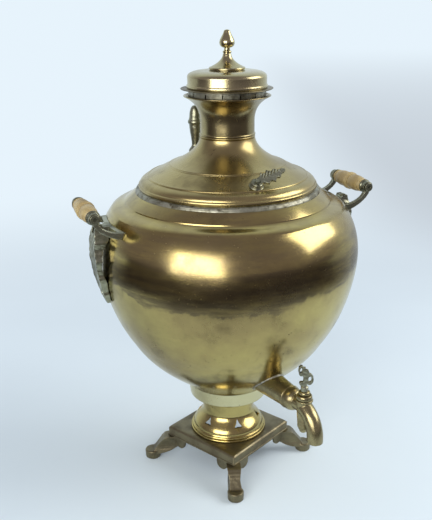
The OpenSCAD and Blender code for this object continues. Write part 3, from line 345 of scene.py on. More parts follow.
class Recipe:
    """Builds the node tree of one material."""

    def __init__(self, name: str) -> None:
        """Starts a material of that name."""
        self.material = bpy.data.materials.new(name)
        self.material.use_nodes = True
        self.tree = self.material.node_tree
        self.tree.nodes.clear()
        self.place = self.add("ShaderNodeTexCoord").outputs["Object"]

    def add(self, kind: str, **settings: object) -> bpy.types.Node:
        """Adds a node of that kind, with its own settings."""
        node = self.tree.nodes.new(kind)
        for key, value in settings.items():
            setattr(node, key, value)
        return node

    def feed(self, node: bpy.types.Node, socket: str | int, value: object) -> None:
        """Links a socket's value, or sets it if it is a constant."""
        if isinstance(value, bpy.types.NodeSocket):
            self.tree.links.new(value, node.inputs[socket])
        elif isinstance(value, tuple) and len(value) == 3 and node.inputs[socket].type == "RGBA":
            node.inputs[socket].default_value = (*value, 1)
        else:
            node.inputs[socket].default_value = value

    def stretched(self, scale: Colour, turn: float = 0) -> bpy.types.NodeSocket:
        """Returns the place scaled along its axes, after a turn about Z in degrees."""
        node = self.add("ShaderNodeMapping")
        self.feed(node, "Vector", self.place)
        node.inputs["Rotation"].default_value = (0, 0, math.radians(turn))
        node.inputs["Scale"].default_value = scale
        return node.outputs["Vector"]

    def noise(
        self, scale: float, detail: float = 4, rough: float = 0.5, place: bpy.types.NodeSocket | None = None
    ) -> bpy.types.NodeSocket:
        """Returns a noise from 0 to 1.

        Args:
            scale: Its scale per metre.
            detail: Its detail.
            rough: Its roughness.
            place: Where it is read, if that isn't the object's own place.

        Returns:
            The noise's value.
        """
        node = self.add("ShaderNodeTexNoise")
        self.feed(node, "Vector", place or self.place)
        for key, value in {"Scale": scale, "Detail": detail, "Roughness": rough}.items():
            self.feed(node, key, value)
        return node.outputs["Fac"]

    def step(
        self, value: bpy.types.NodeSocket, low: float, high: float, to: float = 1
    ) -> bpy.types.NodeSocket:
        """Returns a smooth step that rises from 0 at low up to its end value at high."""
        node = self.add("ShaderNodeMapRange", interpolation_type="SMOOTHSTEP")
        self.feed(node, "Value", value)
        for key, number in {"From Min": low, "From Max": high, "To Max": to}.items():
            self.feed(node, key, number)
        return node.outputs["Result"]

    def sums(self, kind: str, a: object, b: object) -> bpy.types.NodeSocket:
        """Returns the outcome of one sum, such as MULTIPLY, on two values."""
        node = self.add("ShaderNodeMath", operation=kind)
        self.feed(node, 0, a)
        self.feed(node, 1, b)
        return node.outputs[0]

    def blend(self, share: object, a: object, b: object) -> bpy.types.NodeSocket:
        """Returns colour a where the share is 0, up to colour b where it is 1."""
        node = self.add("ShaderNodeMix", data_type="RGBA")
        self.feed(node, "Factor", share)
        self.feed(node, 6, a)
        self.feed(node, 7, b)
        return node.outputs[2]

    def bump(
        self,
        height: bpy.types.NodeSocket,
        depth: float,
        strength: float = 1,
        over: bpy.types.NodeSocket | None = None,
    ) -> bpy.types.NodeSocket:
        """Returns a bumped normal.

        Args:
            height: Height from 0 to 1.
            depth: What 1 stands for, in millimetres.
            strength: Strength of the bump.
            over: A normal that is already bumped.

        Returns:
            The bumped normal.
        """
        node = self.add("ShaderNodeBump")
        self.feed(node, "Height", height)
        self.feed(node, "Distance", depth * MM)
        self.feed(node, "Strength", strength)
        if over:
            self.feed(node, "Normal", over)
        return node.outputs["Normal"]

    def hollows(self, low: float = 0.42, high: float = 0.5) -> bpy.types.NodeSocket:
        """Returns 1 in hollows and 0 on proud edges, from the shape of a dense mesh."""
        return self.step(self.add("ShaderNodeNewGeometry").outputs["Pointiness"], high, low)

    def surface(self, metal: float, **sockets: object) -> bpy.types.Material:
        """Ends the recipe with its surface.

        Args:
            metal: How much of a metal it is.
            **sockets: Values of the other sockets, with _ for a space.

        Returns:
            The material.
        """
        shader = self.add("ShaderNodeBsdfPrincipled")
        self.feed(shader, "Metallic", metal)
        for key, value in sockets.items():
            self.feed(shader, key.replace("_", " "), value)
        out = self.add("ShaderNodeOutputMaterial")
        self.tree.links.new(shader.outputs[0], out.inputs[0])
        return self.material


@dataclass(frozen=True)
class SpunBrass:
    """Old polished sheet brass: spinning lines, tarnish clouds, specks and fine scratches."""

    name: str
    bright: Colour = (0.50, 0.41, 0.15)
    dull: Colour = (0.34, 0.26, 0.11)
    grime: Colour = (0.085, 0.062, 0.035)
    gloss: float = 0.17
    tarnish: float = 0.68
    lines: float = 900
    tide_and_reflection_line: float = 0
    # Tarnish colour above the ragged mark, which also stands in for a painted dim reflection.
    tarnish_and_reflection_brown: Colour = (0.30, 0.235, 0.125)
    # Painted reflection of the dark room, laid in a band just above the ragged mark.
    dark: Colour = (0.13, 0.10, 0.058)
    # The ragged mark round the belly, brown tarnish with a painted reflection of the dark room just above it:
    # its slope from the camera's front to the back, its edge and the fading of the painted reflection, in
    # metres, and its strength.
    front: Colour = (-0.515, -0.857, 0)
    front_reach: float = 0.155
    slant: float = 0.2
    wave: float = 0.06
    fray: float = 0.03
    edge: float = 0.004
    reflection_fade: tuple[float, float] = (0.01, 0.08)
    tarnish_and_reflection_share: float = 0.5
    painted_reflection_share: float = 0.75

    def browned_and_reflection_darkened(self, mix: Recipe, tone: bpy.types.NodeSocket) -> bpy.types.NodeSocket:
        """Returns the tone with tarnish and a painted dim reflection above a ragged mark round the belly, and
        a painted reflection of the dark room darkening a band just above the mark.
        """
        split = mix.add("ShaderNodeSeparateXYZ")
        mix.feed(split, 0, mix.place)
        ahead = mix.add("ShaderNodeVectorMath", operation="DOT_PRODUCT")
        mix.feed(ahead, 0, mix.place)
        mix.feed(ahead, 1, self.front)
        waves = mix.sums("MULTIPLY", mix.noise(9, 3, 0.5), self.wave)
        frays = mix.sums("MULTIPLY", mix.noise(60, 8, 0.7), self.fray)
        level = mix.sums("ADD", split.outputs["Z"], mix.sums("ADD", waves, frays))
        level = mix.sums("ADD", level, mix.sums("MULTIPLY", ahead.outputs["Value"], self.slant))
        start = self.tide_and_reflection_line + (self.wave + self.fray) / 2 + self.slant * self.front_reach
        mark = mix.step(level, start, start + self.edge)
        reflection_fade = mix.sums("MULTIPLY", mark, mix.step(level, start + self.reflection_fade[1], start + self.reflection_fade[0]))
        # A patchy share for both the tarnish and the painted reflection.
        worn = mix.step(mix.noise(1, 6, 0.7, mix.stretched((14, 14, 90))), 0.35, 0.62)
        # Tarnish and painted dim reflection above the mark.
        tarnish_and_reflection_brown = mix.sums("MULTIPLY", mark, mix.sums("MULTIPLY", worn, self.tarnish_and_reflection_share))
        tone = mix.blend(tarnish_and_reflection_brown, tone, self.tarnish_and_reflection_brown)
        # Painted reflection: the dark room's mirror image, laid as a dark band just above the mark.
        dark = mix.sums("MULTIPLY", reflection_fade, mix.sums("MULTIPLY", worn, self.painted_reflection_share))
        return mix.blend(dark, tone, self.dark)

    def make(self) -> bpy.types.Material:
        """Returns the finish as a material."""
        mix = Recipe(self.name)
        clouds = mix.noise(7, 8, 0.62)
        patches = mix.noise(22, 6, 0.6)
        streaks = mix.noise(3, 5, 0.7, mix.stretched((2, 2, self.lines / 3)))
        fine = mix.noise(1, 3, 0.6, mix.stretched((30, 30, self.lines * 5)))
        specks = mix.step(mix.noise(260, 3, 0.55), 0.64, 0.74)
        few = mix.step(mix.noise(19, 3, 0.5), 0.5, 0.62)
        scratches = mix.step(mix.noise(1, 2, 0.5, mix.stretched((900, 30, 60), 35)), 0.66, 0.72)
        tone = mix.blend(mix.step(clouds, 0.36, 0.66), self.bright, self.dull)
        tone = mix.blend(mix.step(patches, 0.5, 0.8, self.tarnish), tone, self.grime)
        tone = mix.blend(mix.step(streaks, 0.52, 0.78, self.tarnish * 0.6), tone, self.dull)
        tone = mix.blend(mix.sums("MULTIPLY", specks, mix.sums("MULTIPLY", few, 0.8)), tone, self.grime)
        if self.tide_and_reflection_line:
            tone = self.browned_and_reflection_darkened(mix, tone)
        rough = mix.sums("ADD", self.gloss, mix.step(clouds, 0.35, 0.75, 0.12))
        rough = mix.sums("ADD", rough, mix.step(patches, 0.5, 0.75, 0.14 * self.tarnish))
        rough = mix.sums("ADD", rough, mix.sums("MULTIPLY", specks, 0.08))
        face = mix.bump(mix.noise(16, 3, 0.5), 0.6, 0.26)
        face = mix.bump(mix.noise(1, 4, 0.6, mix.stretched((26, 26, 120))), 0.12, 0.3, face)
        face = mix.bump(streaks, 0.03, 0.5, face)
        face = mix.bump(fine, 0.006, 0.5, face)
        face = mix.bump(scratches, -0.02, 0.4, face)
        face = mix.bump(specks, -0.02, 0.3, face)
        return mix.surface(1, Base_Color=tone, Roughness=rough, Normal=face)


@dataclass(frozen=True)
class CastMetal:
    """Cast brass or bronze: sand grain, dark hollows and rubbed edges."""

    name: str
    bright: Colour
    dull: Colour
    grime: Colour
    gloss: float = 0.32
    hollow: float = 0.75
    grain: float = 0.12

    def make(self) -> bpy.types.Material:
        """Returns the finish as a material."""
        mix = Recipe(self.name)
        clouds = mix.noise(45, 6, 0.6)
        sand = mix.noise(900, 3, 0.6)
        hollows = mix.hollows()
        tone = mix.blend(mix.step(clouds, 0.35, 0.68), self.bright, self.dull)
        tone = mix.blend(mix.sums("MULTIPLY", hollows, self.hollow), tone, self.grime)
        tone = mix.blend(mix.step(sand, 0.55, 0.75, 0.45), tone, self.grime)
        rough = mix.sums("ADD", self.gloss, mix.sums("MULTIPLY", hollows, 0.25))
        rough = mix.sums("ADD", rough, mix.step(clouds, 0.4, 0.7, 0.14))
        face = mix.bump(mix.noise(160, 4, 0.55), 0.3, 0.3)
        face = mix.bump(sand, self.grain, 0.4, face)
        return mix.surface(0.93, Base_Color=tone, Roughness=rough, Normal=face)


@dataclass(frozen=True)
class WornTin:
    """Tin that has worn through and gone whitish."""

    name: str
    bright: Colour = (0.31, 0.305, 0.235)
    dull: Colour = (0.145, 0.135, 0.092)
    under: Colour = (0.075, 0.06, 0.036)

    def make(self) -> bpy.types.Material:
        """Returns the finish as a material."""
        mix = Recipe(self.name)
        patches = mix.noise(70, 6, 0.65)
        blots = mix.noise(160, 5, 0.6)
        tone = mix.blend(mix.step(patches, 0.36, 0.6), self.dull, self.bright)
        tone = mix.blend(mix.step(blots, 0.56, 0.68, 0.9), tone, self.under)
        rough = mix.sums("ADD", 0.36, mix.step(blots, 0.4, 0.7, 0.3))
        face = mix.bump(patches, 0.5, 0.5)
        face = mix.bump(mix.noise(700, 3, 0.6), 0.06, 0.6, face)
        return mix.surface(0.85, Base_Color=tone, Roughness=rough, Normal=face)


@dataclass(frozen=True)
class DullMetal:
    """Plain iron or steel that is seldom seen: soot, rust or wear in small clouds."""

    name: str
    bright: Colour
    dull: Colour
    metal: float
    gloss: float

    def make(self) -> bpy.types.Material:
        """Returns the finish as a material."""
        mix = Recipe(self.name)
        clouds = mix.noise(120, 6, 0.65)
        tone = mix.blend(mix.step(clouds, 0.35, 0.65), self.bright, self.dull)
        rough = mix.sums("ADD", self.gloss, mix.step(clouds, 0.3, 0.7, 0.25))
        face = mix.bump(mix.noise(800, 4, 0.6), 0.12, 0.6)
        return mix.surface(self.metal, Base_Color=tone, Roughness=rough, Normal=face)


@dataclass(frozen=True)
class TurnedWood:
    """Turned hardwood under old ochre varnish, darker in its grooves and along its grain."""

    name: str
    turn: float
    bright: Colour = (0.44, 0.335, 0.15)
    dull: Colour = (0.30, 0.21, 0.085)
    grime: Colour = (0.15, 0.085, 0.035)

    def make(self) -> bpy.types.Material:
        """Returns the finish as a material."""
        mix = Recipe(self.name)
        grain = mix.noise(1, 6, 0.65, mix.stretched((420, 26, 420), self.turn))
        clouds = mix.noise(60, 4, 0.6)
        hollows = mix.hollows(0.4, 0.49)
        tone = mix.blend(mix.step(clouds, 0.35, 0.7), self.bright, self.dull)
        tone = mix.blend(mix.step(grain, 0.5, 0.72, 0.7), tone, self.dull)
        tone = mix.blend(mix.step(grain, 0.62, 0.74, 0.6), tone, self.grime)
        tone = mix.blend(mix.sums("MULTIPLY", hollows, 0.75), tone, self.grime)
        rough = mix.sums("ADD", 0.4, mix.step(clouds, 0.4, 0.7, 0.15))
        face = mix.bump(grain, 0.12, 0.5)
        return mix.surface(0, Base_Color=tone, Roughness=rough, Normal=face)


BRASS = SpunBrass("old brass")
# The body's ragged mark round the belly: tarnish, with a painted reflection of the dark room just above it.
BODY_BRASS = SpunBrass("body brass", tide_and_reflection_line=0.272)
COVER_BRASS = SpunBrass("cover brass", bright=(0.46, 0.375, 0.16), dull=(0.30, 0.235, 0.11), gloss=0.25)
CAP_BRASS = SpunBrass("cap brass", bright=(0.58, 0.52, 0.28), dull=(0.42, 0.36, 0.20), tarnish=0.4)
NECK_BRASS = SpunBrass(
    "neck brass", bright=(0.44, 0.375, 0.18), dull=(0.29, 0.235, 0.125), tarnish=0.7, gloss=0.19)
PALE_BRASS = SpunBrass(
    "pale brass", bright=(0.66, 0.61, 0.36), dull=(0.52, 0.46, 0.26), tarnish=0.25, gloss=0.22)
TAP_BRASS = CastMetal(
    "tap brass", (0.36, 0.31, 0.155), (0.23, 0.19, 0.10), (0.07, 0.054, 0.032), gloss=0.24, grain=0.06)
RED_BRASS = CastMetal(
    "red brass", (0.205, 0.178, 0.105), (0.13, 0.11, 0.068), (0.04, 0.032, 0.021), gloss=0.36)
BRONZE = CastMetal(
    "dark bronze", (0.37, 0.37, 0.26), (0.17, 0.17, 0.115), (0.028, 0.028, 0.02), gloss=0.3, hollow=0.9)
TIN = WornTin("worn tin")
SOLDER = WornTin("solder", bright=(0.40, 0.40, 0.36), dull=(0.22, 0.20, 0.15))
IRON = DullMetal("sooty iron", (0.06, 0.055, 0.05), (0.02, 0.018, 0.017), 0.6, 0.6)
STEEL = DullMetal("dull steel", (0.42, 0.41, 0.39), (0.22, 0.19, 0.16), 0.9, 0.35)


class Dresser:
    """Puts finishes on pieces and hangs each one on the body it rides on."""

    def __init__(self) -> None:
        """Starts with no finish made."""
        self.made: dict[str, bpy.types.Material] = {}

    def paint(self, obj: bpy.types.Object, finish: object) -> None:
        """Gives an object one finish."""
        if finish.name not in self.made:
            self.made[finish.name] = finish.make()
        obj.data.materials.clear()
        obj.data.materials.append(self.made[finish.name])

    def place(
        self,
        obj: bpy.types.Object,
        body: Body,
        slot: Slot,
        finish: object,
        nodes: Sequence[str] | None = None,
    ) -> None:
        """Dresses one new piece, hangs it on its body and hides the CAD nodes it stands for.

        Args:
            obj: The piece, in its place.
            body: What it rides on.
            slot: The part's material slot. Not used.
            finish: Its finish.
            nodes: CAD nodes that it stands for, if that isn't the one of its own name.
        """
        self.paint(obj, finish)
        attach(obj, body.value)
        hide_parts(*(nodes or [obj.name.removesuffix("_skin")]))
        LOG.info("%s: %d faces on %s", obj.name, len(obj.data.polygons), body.value)

    def keep(self, names: Sequence[str], finish: object) -> None:
        """Dresses CAD nodes that are shown as they are."""
        for name in names:
            self.paint(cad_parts[name], finish)
            LOG.info("%s: kept from the CAD part", name)


# ---------- the urn ----------


@dataclass
class Base:
    """The square plate on its four cast feet."""

    side: float = 119
    lift: float = 33
    height: float = 13
    sheet: float = 3
    bevel: float = 2
    turn: float = 18
    hole: float = 37
    screw_in: float = 15
    flat: float = 46
    knee: float = 88
    knee_width: float = 9
    feet: tuple[str, ...] = ("foot_front_left", "foot_front_right", "foot_back_left", "foot_back_right")

    def ring(self, reach: float, height: float, square: float, around: int = 320) -> np.ndarray:
        """Draws one ring of the plate.

        Args:
            reach: Half its width.
            height: Its height.
            square: 1 for a square with soft corners, 0 for a circle.
            around: Number of points.

        Returns:
            Its points, which crowd towards the corners.
        """
        share = np.arange(around) / around * 4
        quarter, within = np.floor(share), np.mod(share, 1) * 2 - 1
        turn = (quarter + (1 + np.sign(within) * np.abs(within) ** 1.6) / 2) * math.pi / 2
        power = 70.0
        soft = (np.abs(np.cos(turn)) ** power + np.abs(np.sin(turn)) ** power) ** (-1 / power)
        radius = reach * (square * soft + 1 - square)
        return np.stack([radius * np.cos(turn), radius * np.sin(turn), np.full(around, height)], axis=1)

    def plate(self) -> bpy.types.Object:
        """Returns the plate, with its moulded edge and the hollow under it."""
        half, top = self.side / 2, self.lift + self.height
        edge = half - 1
        rim = [
            (half - 0.5, self.lift), (half - 0.1, self.lift + 0.15), (half, self.lift + 0.5),
            (half, self.lift + 1.5), (half - 0.15, self.lift + 1.9), (edge + 0.15, self.lift + 2.1),
            (edge, self.lift + 2.4), (edge, top - self.bevel - 0.4), (edge - 0.15, top - self.bevel),
            (edge - self.bevel + 0.2, top - 0.2), (edge - self.bevel - 0.3, top), (edge - 8, top - 0.1),
        ]
        rings = [self.ring(r, z, 1) for r, z in rim]
        under = top - self.sheet
        inside = [
            (self.flat, top - 0.1, 0), (self.hole, top - 0.1, 0), (self.hole, under, 0),
            (half - 6, under, 0.9), (half - 4.2, under - 0.6, 1), (half - 4, self.lift, 1),
        ]
        rings += [self.ring(r, z, square) for r, z, square in inside]
        points = np.stack(rings, axis=1)
        sag = 0.12 * ripple(points.reshape(-1, 3), 48, 4).reshape(points.shape[:2])
        points[:, 3:13, 2] -= np.abs(sag[:, 3:13])
        mould = Mould("base_plate_skin").net(points, Matrix.Rotation(math.radians(self.turn), 4, "Z"))
        corner = half * math.sqrt(2) - self.screw_in * math.sqrt(2)
        for i in range(4):
            turn = Matrix.Rotation(math.radians(self.turn + 45 + 90 * i), 4, "Z")
            spot = turn @ Matrix.Translation((corner, 0, 0))
            mould.spin([at(0, self.lift), at(5.5, self.lift), at(5.5, top - 1), at(0, top - 1)], spot, 32)
        return mould.piece(50)

    def carving(self, points: np.ndarray) -> np.ndarray:
        """Returns the relief of a foot: a border along the aprons and a chased knee."""
        low = np.clip((self.lift - points[:, 2]) / 12, 0, 1)
        wave = 0.12 * ripple(points, 9, 2) + 0.06 * ripple(points, 3.5, 3)
        out = np.hypot(points[:, 0], points[:, 1])
        leg = np.exp(-(((out - self.knee) / self.knee_width) ** 2)) * (points[:, 2] > 14)
        return -0.1 + wave * low - 0.25 * leg * (0.5 + 0.5 * np.cos(points[:, 2] * 1.7))

    def build(self, dresser: Dresser) -> None:
        """Builds and dresses the plate and its feet."""
        dresser.place(self.plate(), Body.URN, Slot.RED_BRASS, RED_BRASS)
        for name in self.feet:
            foot = cast(name + "_skin", name, 0.6, 3, self.carving)
            dresser.place(foot, Body.URN, Slot.RED_BRASS, RED_BRASS)


@dataclass
class Pedestal:
    """The spun stem with its draught holes, and the plain drum on it."""

    bottom: float = 46
    foot: float = 51
    neck: float = 34.5
    height: float = 54
    sheet: float = 1.6
    hole: float = 6
    holes: int = 6
    first_hole: float = -13
    hole_share: float = 0.37
    drum_low: float = 51
    drum_top: float = 54
    drum_height: float = 19
    drum_sheet: float = 1.5
    grate_hole: float = 34

    def face(self) -> Outline:
        """Returns the stem's outer face."""
        cove = at(self.foot - 4, 7.6)
        neck, top = at(self.neck, self.height * 0.58), at(self.neck + 3.5, self.height)
        return [
            *bead(at(self.foot - 1.2, 0), at(self.foot - 1.2, 3.4), 1.2),
            *bead(at(self.foot - 2, 3.4), at(cove.x + 0.8, 6.6), 1),
            cove,
            *curve(cove, at(cove.x - 1, self.height * 0.32), at(self.neck, self.height * 0.4), neck, 28),
            *curve(neck, at(self.neck, self.height * 0.8), at(self.neck + 0.3, self.height * 0.93), top, 16),
        ]

    def hole_cutter(self) -> bpy.types.Object:
        """Returns the cutter for all three-lobed draught holes."""
        mould = Mould("hole_cutter")
        lobe = [(0.22, -0.36), (0.42, -0.3), (0.8, -0.12), (1.0, 0), (0.8, 0.12), (0.42, 0.3), (0.22, 0.36)]
        rim = []
        for i in range(3):
            turn = math.radians(90 + 120 * i)
            for x, y in lobe:
                along, across = x * self.hole, y * self.hole
                rim.append((
                    along * math.cos(turn) - across * math.sin(turn),
                    along * math.sin(turn) + across * math.cos(turn),
                ))
        for i in range(self.holes):
            place = Matrix.Rotation(math.radians(self.first_hole + 360 / self.holes * i), 4, "Z")
            middle = self.bottom + self.height * self.hole_share
            near_end, far_end = -self.neck + 8, -self.neck - 22
            near = [(x, near_end, middle + y) for x, y in rim]
            far = [(x, far_end, middle + y) for x, y in rim]
            ends = [[(0, end, middle)] * len(rim) for end in (near_end, far_end)]
            mould.net(np.array([ends[0], near, far, ends[1]]).transpose(1, 0, 2), place)
        return mould.piece()

    def build(self, dresser: Dresser) -> None:
        """Builds and dresses the stem and the drum."""
        place = Matrix.Translation((0, 0, self.bottom))
        face = self.face()
        inner = moved_in([at(self.foot - 1.5, 0), at(self.foot - 1.5, 2), *face[26:]], self.sheet)
        outline = [*face, *reversed(inner[2:]), at(self.foot - 4, self.sheet), at(self.foot - 10, self.sheet),
                   at(self.foot - 10, 0)]
        stem = Mould("pedestal_skin").spin(outline, place, 192, dents(8, 7, 0.3, (10, 50), 40)).piece()
        cut_out(stem, self.hole_cutter())
        dresser.place(stem, Body.URN, Slot.BRASS, BRASS)
        low, top, sheet = self.drum_low, self.drum_top, self.drum_sheet
        drum = [
            at(self.grate_hole, 0),
            at(low - 1.4, 0), at(low - 0.5, 0.2), at(low - 0.1, 0.6), at(low + 0.1, 1.2),
            *[at(low + (top - low) * i / 12, 1.2 + (self.drum_height - 1.2) * i / 12) for i in range(1, 13)],
            at(top - sheet, self.drum_height), at(low - sheet, sheet), at(self.grate_hole, sheet),
        ]
        piece = Mould("fire_drum_skin").spin(
            drum, Matrix.Translation((0, 0, self.bottom + self.height)), 192, dents(3, 9, 0.25, (3, 17), 52))
        dresser.place(piece.piece(), Body.URN, Slot.PALE_BRASS, PALE_BRASS)


@dataclass
class Vessel:
    """The vase-shaped water body with its tinned mouth ring."""

    bottom: float = 119
    foot: float = 54
    belly: float = 163
    mouth: float = 113.5
    mouth_height: float = 378.5
    sheet: float = 1.5
    fire: float = 44
    ring_height: float = 5.5
    ring_width: float = 11

    def line(self) -> Outline:
        """Returns the outer line, from the drum up to the mouth."""
        low, hip = at(self.foot, self.bottom), at(127.8, self.bottom + 72.9)
        belly, brow = at(self.belly, 301.95), at(self.belly - 18.8, self.mouth_height - 18.95)
        step = at(self.mouth + 13.6, self.mouth_height - 10.9)
        return [
            low,
            *curve(low, low + at(10.6, 14.5), hip - at(24, 41.5), hip, 40),
            *curve(hip, hip + at(29.7, 43.9), belly - at(0, 16.1), belly, 48),
            *curve(belly, belly + at(0, 36.1), brow + at(2.3, -3.9), brow, 28),
            *curve(brow, brow + at(-4.6, 5.2), step + at(4.9, -3.6), step, 12),
            at(self.mouth, self.mouth_height),
        ]

    def solid(self, name: str) -> bpy.types.Object:
        """Returns the body's outer shape as one solid, to cut with."""
        line = self.line()
        return Mould(name).spin([at(0, self.bottom), *line, at(0, self.mouth_height)], around=192).piece()

    def build(self, dresser: Dresser) -> None:
        """Builds and dresses the body and its mouth ring."""
        line = self.line()
        inner = moved_in(line, self.sheet)
        step, mouth = line[-2], line[-1]
        crest = [step + at(-0.3, 1.3), step + at(-1.0, 2.0), at(self.mouth, self.mouth_height + 0.6)]
        outline = [
            at(self.fire, self.bottom), *line[:-1], *crest, mouth,
            at(self.mouth - self.sheet, self.mouth_height), *reversed(inner[1:-1]),
            at(self.fire, self.bottom + 2),
        ]
        few = dents(21, 42, 0.42, (150, 350), 140)

        def used(turn: np.ndarray, radius: np.ndarray, height: np.ndarray) -> np.ndarray:
            """Returns the dents, and the body's slight lack of roundness."""
            swell = np.clip((height - 130) / 60, 0, 1) * np.clip((372 - height) / 30, 0, 1)
            uneven = np.sin(3 * turn + height / 50) + np.sin(5 * turn - height / 31)
            uneven = uneven + 0.6 * np.sin(9 * turn + height / 17)
            return few(turn, radius, height) - 0.1 * swell * (2.6 + uneven)

        body = Mould("body_shell_skin").spin(outline, around=320, wobble=used).piece(24)
        dresser.place(body, Body.URN, Slot.BRASS, BODY_BRASS)
        seat = self.mouth - self.ring_width
        ring = [at(seat, 0), at(self.mouth, 0),
                *bead(at(self.mouth, 0.3), at(self.mouth - 3, self.ring_height - 0.4), 0.8, 14),
                at(self.mouth - 3.4, self.ring_height), at(seat, self.ring_height)]

        def uneven_ring(turn: np.ndarray, radius: np.ndarray, height: np.ndarray) -> np.ndarray:
            """Returns the unevenness of the wiped solder."""
            wave = np.sin(17 * turn) + np.sin(29 * turn + 1) + np.sin(53 * turn + 2)
            return np.where(radius > self.mouth - 1, -0.16 * (1.2 + wave / 2.6), 0)

        mouth_ring = Mould("mouth_ring_skin").spin(
            ring, Matrix.Translation((0, 0, self.mouth_height)), 320, uneven_ring).piece(60)
        dresser.place(mouth_ring, Body.URN, Slot.TIN, TIN)


@dataclass
class Tap:
    """The plug tap on its soldered shank."""

    height: float = 154
    flange: float = 136.667
    root: float = 16.5
    end: float = 13.5
    bore: float = 8
    plug_out: float = 165.667
    barrel: tuple[float, float] = (127.5, 164.5)
    plug: tuple[float, float] = (4.4, 6.2)
    key_foot: float = 181.4
    barrel_rings: tuple[float, float] = (133.5, 137.5)
    rings_reach: float = 9.2
    start: float = 63.167
    free: float = 40.5

    def along(self, out: float) -> Matrix:
        """Returns the place on the tap's centre line at that distance from the axis."""
        return Matrix.Translation((0, -out, self.height)) @ Matrix.Rotation(math.pi / 2, 4, "X")

    def shank_radius(self, out: float) -> float:
        """Returns the shank's radius at that distance from the urn's axis."""
        return self.end + (self.root - self.end) * (self.flange - out) / self.free

    def shank(self, vessel: Vessel) -> bpy.types.Object:
        """Returns the shank, cut to the body's outside."""
        long = self.flange - self.start
        steps = 14
        outline = []
        for i in range(steps):
            out = long * i / steps
            outline.append(at(self.shank_radius(self.start + out), out))
        outline += [at(self.end, long - 0.4), at(self.end - 0.4, long), at(self.bore, long), at(self.bore, 0)]
        shank = Mould("tap_shank_skin").spin(outline, self.along(self.start), 128).piece()
        cut_out(shank, vessel.solid("hull"))
        return shank

    def seam(self, vessel: Vessel) -> bpy.types.Object:
        """Returns the wiped solder round the shank's root."""
        line = vessel.line()
        rng = np.random.default_rng(12)
        lumps = np.convolve(np.tile(rng.uniform(0.7, 1.5, 96), 3), np.ones(5) / 5, "same")[96:192]
        rings = []
        for i in range(96):
            turn = 2 * math.pi * i / 96
            out = 90.0
            for _ in range(40):
                radius = self.shank_radius(out)
                x, z = radius * math.cos(turn), self.height + radius * math.sin(turn)
                out += 0.5 * (math.sqrt(max(radius_at(line, z) ** 2 - x * x, 1)) - out)
            spot = Vector((x, -out, z))
            away = Vector((math.cos(turn), 0, math.sin(turn)))
            over = Vector((0, -1, 0))
            size = 1.5 * lumps[i]
            ring = []
            for j in range(10):
                angle = 2 * math.pi * j / 10
                ring.append(spot + away * size * math.cos(angle) + over * size * math.sin(angle))
            rings.append(ring)
        return Mould("tap_shank_solder").net(np.array(rings)).piece(80)

    def plug_face(self) -> Outline:
        """Returns the outline of the plug with its rings and stem."""
        low, top = self.barrel
        ring = top + 0.4
        return [
            at(0, low - 6), at(3, low - 6), at(3, low),
            at(self.plug[0], low), at(self.plug[1], top), at(self.plug[1], ring),
            *bead(at(8.9, ring), at(8.1, ring + 5), 0.8),
            *bead(at(5, ring + 5), at(5, ring + 10), 1.8, 14),
            at(3, ring + 10), at(3, ring + 15), at(0, ring + 15),
        ]

    def key_carving(self, points: np.ndarray) -> np.ndarray:
        """Returns the relief of the key's scrolls."""
        return -0.12 + 0.22 * ripple(points, 5, 6) * np.clip((points[:, 2] - self.key_foot) / 4, 0, 1)

    def body_carving(self, points: np.ndarray) -> np.ndarray:
        """Returns the relief of the tap's body: two rings round its barrel."""
        out = np.hypot(points[:, 0], points[:, 1] + self.plug_out)
        barrel = sum(np.exp(-(((points[:, 2] - height) / 0.8) ** 2)) for height in self.barrel_rings)
        return -0.06 + 0.05 * ripple(points, 12, 7) - 0.35 * barrel * (out < self.rings_reach)

    def build(self, dresser: Dresser, vessel: Vessel) -> None:
        """Builds and dresses the tap's pieces."""
        dresser.place(self.shank(vessel), Body.URN, Slot.BRASS, TAP_BRASS)
        dresser.place(self.seam(vessel), Body.URN, Slot.TIN, SOLDER, ["tap_shank"])
        body = cast("tap_body_skin", "tap_body", 0.42, 2, self.body_carving)
        dresser.place(body, Body.URN, Slot.BRASS, TAP_BRASS)
        upright = Matrix.Translation((0, -self.plug_out, 0))
        plug = Mould("tap_plug_skin").spin(self.plug_face(), upright, 96).piece()
        dresser.place(plug, Body.TAP_KEY, Slot.BRASS, TAP_BRASS)
        dresser.place(
            cast("tap_key_skin", "tap_key", 0.3, 4, self.key_carving), Body.TAP_KEY, Slot.BRONZE, BRONZE)
        low = self.barrel[0] - 6.4
        nut = [
            at(0, -1.6), at(0.9, -1.5), at(1.6, -1.2),
            *curve(at(1.6, -1.2), at(2.6, -0.6), at(4.2, 0.4), at(4.4, 1.6), 6),
            at(4.4, 4), at(5.8, 4.5), at(6, 4.8), at(6, 6), at(0, 6),
        ]
        piece = Mould("plug_nut_skin").spin(nut, Matrix.Translation((0, -self.plug_out, low)), 64).piece()
        dresser.place(piece, Body.TAP_KEY, Slot.BRASS, TAP_BRASS)


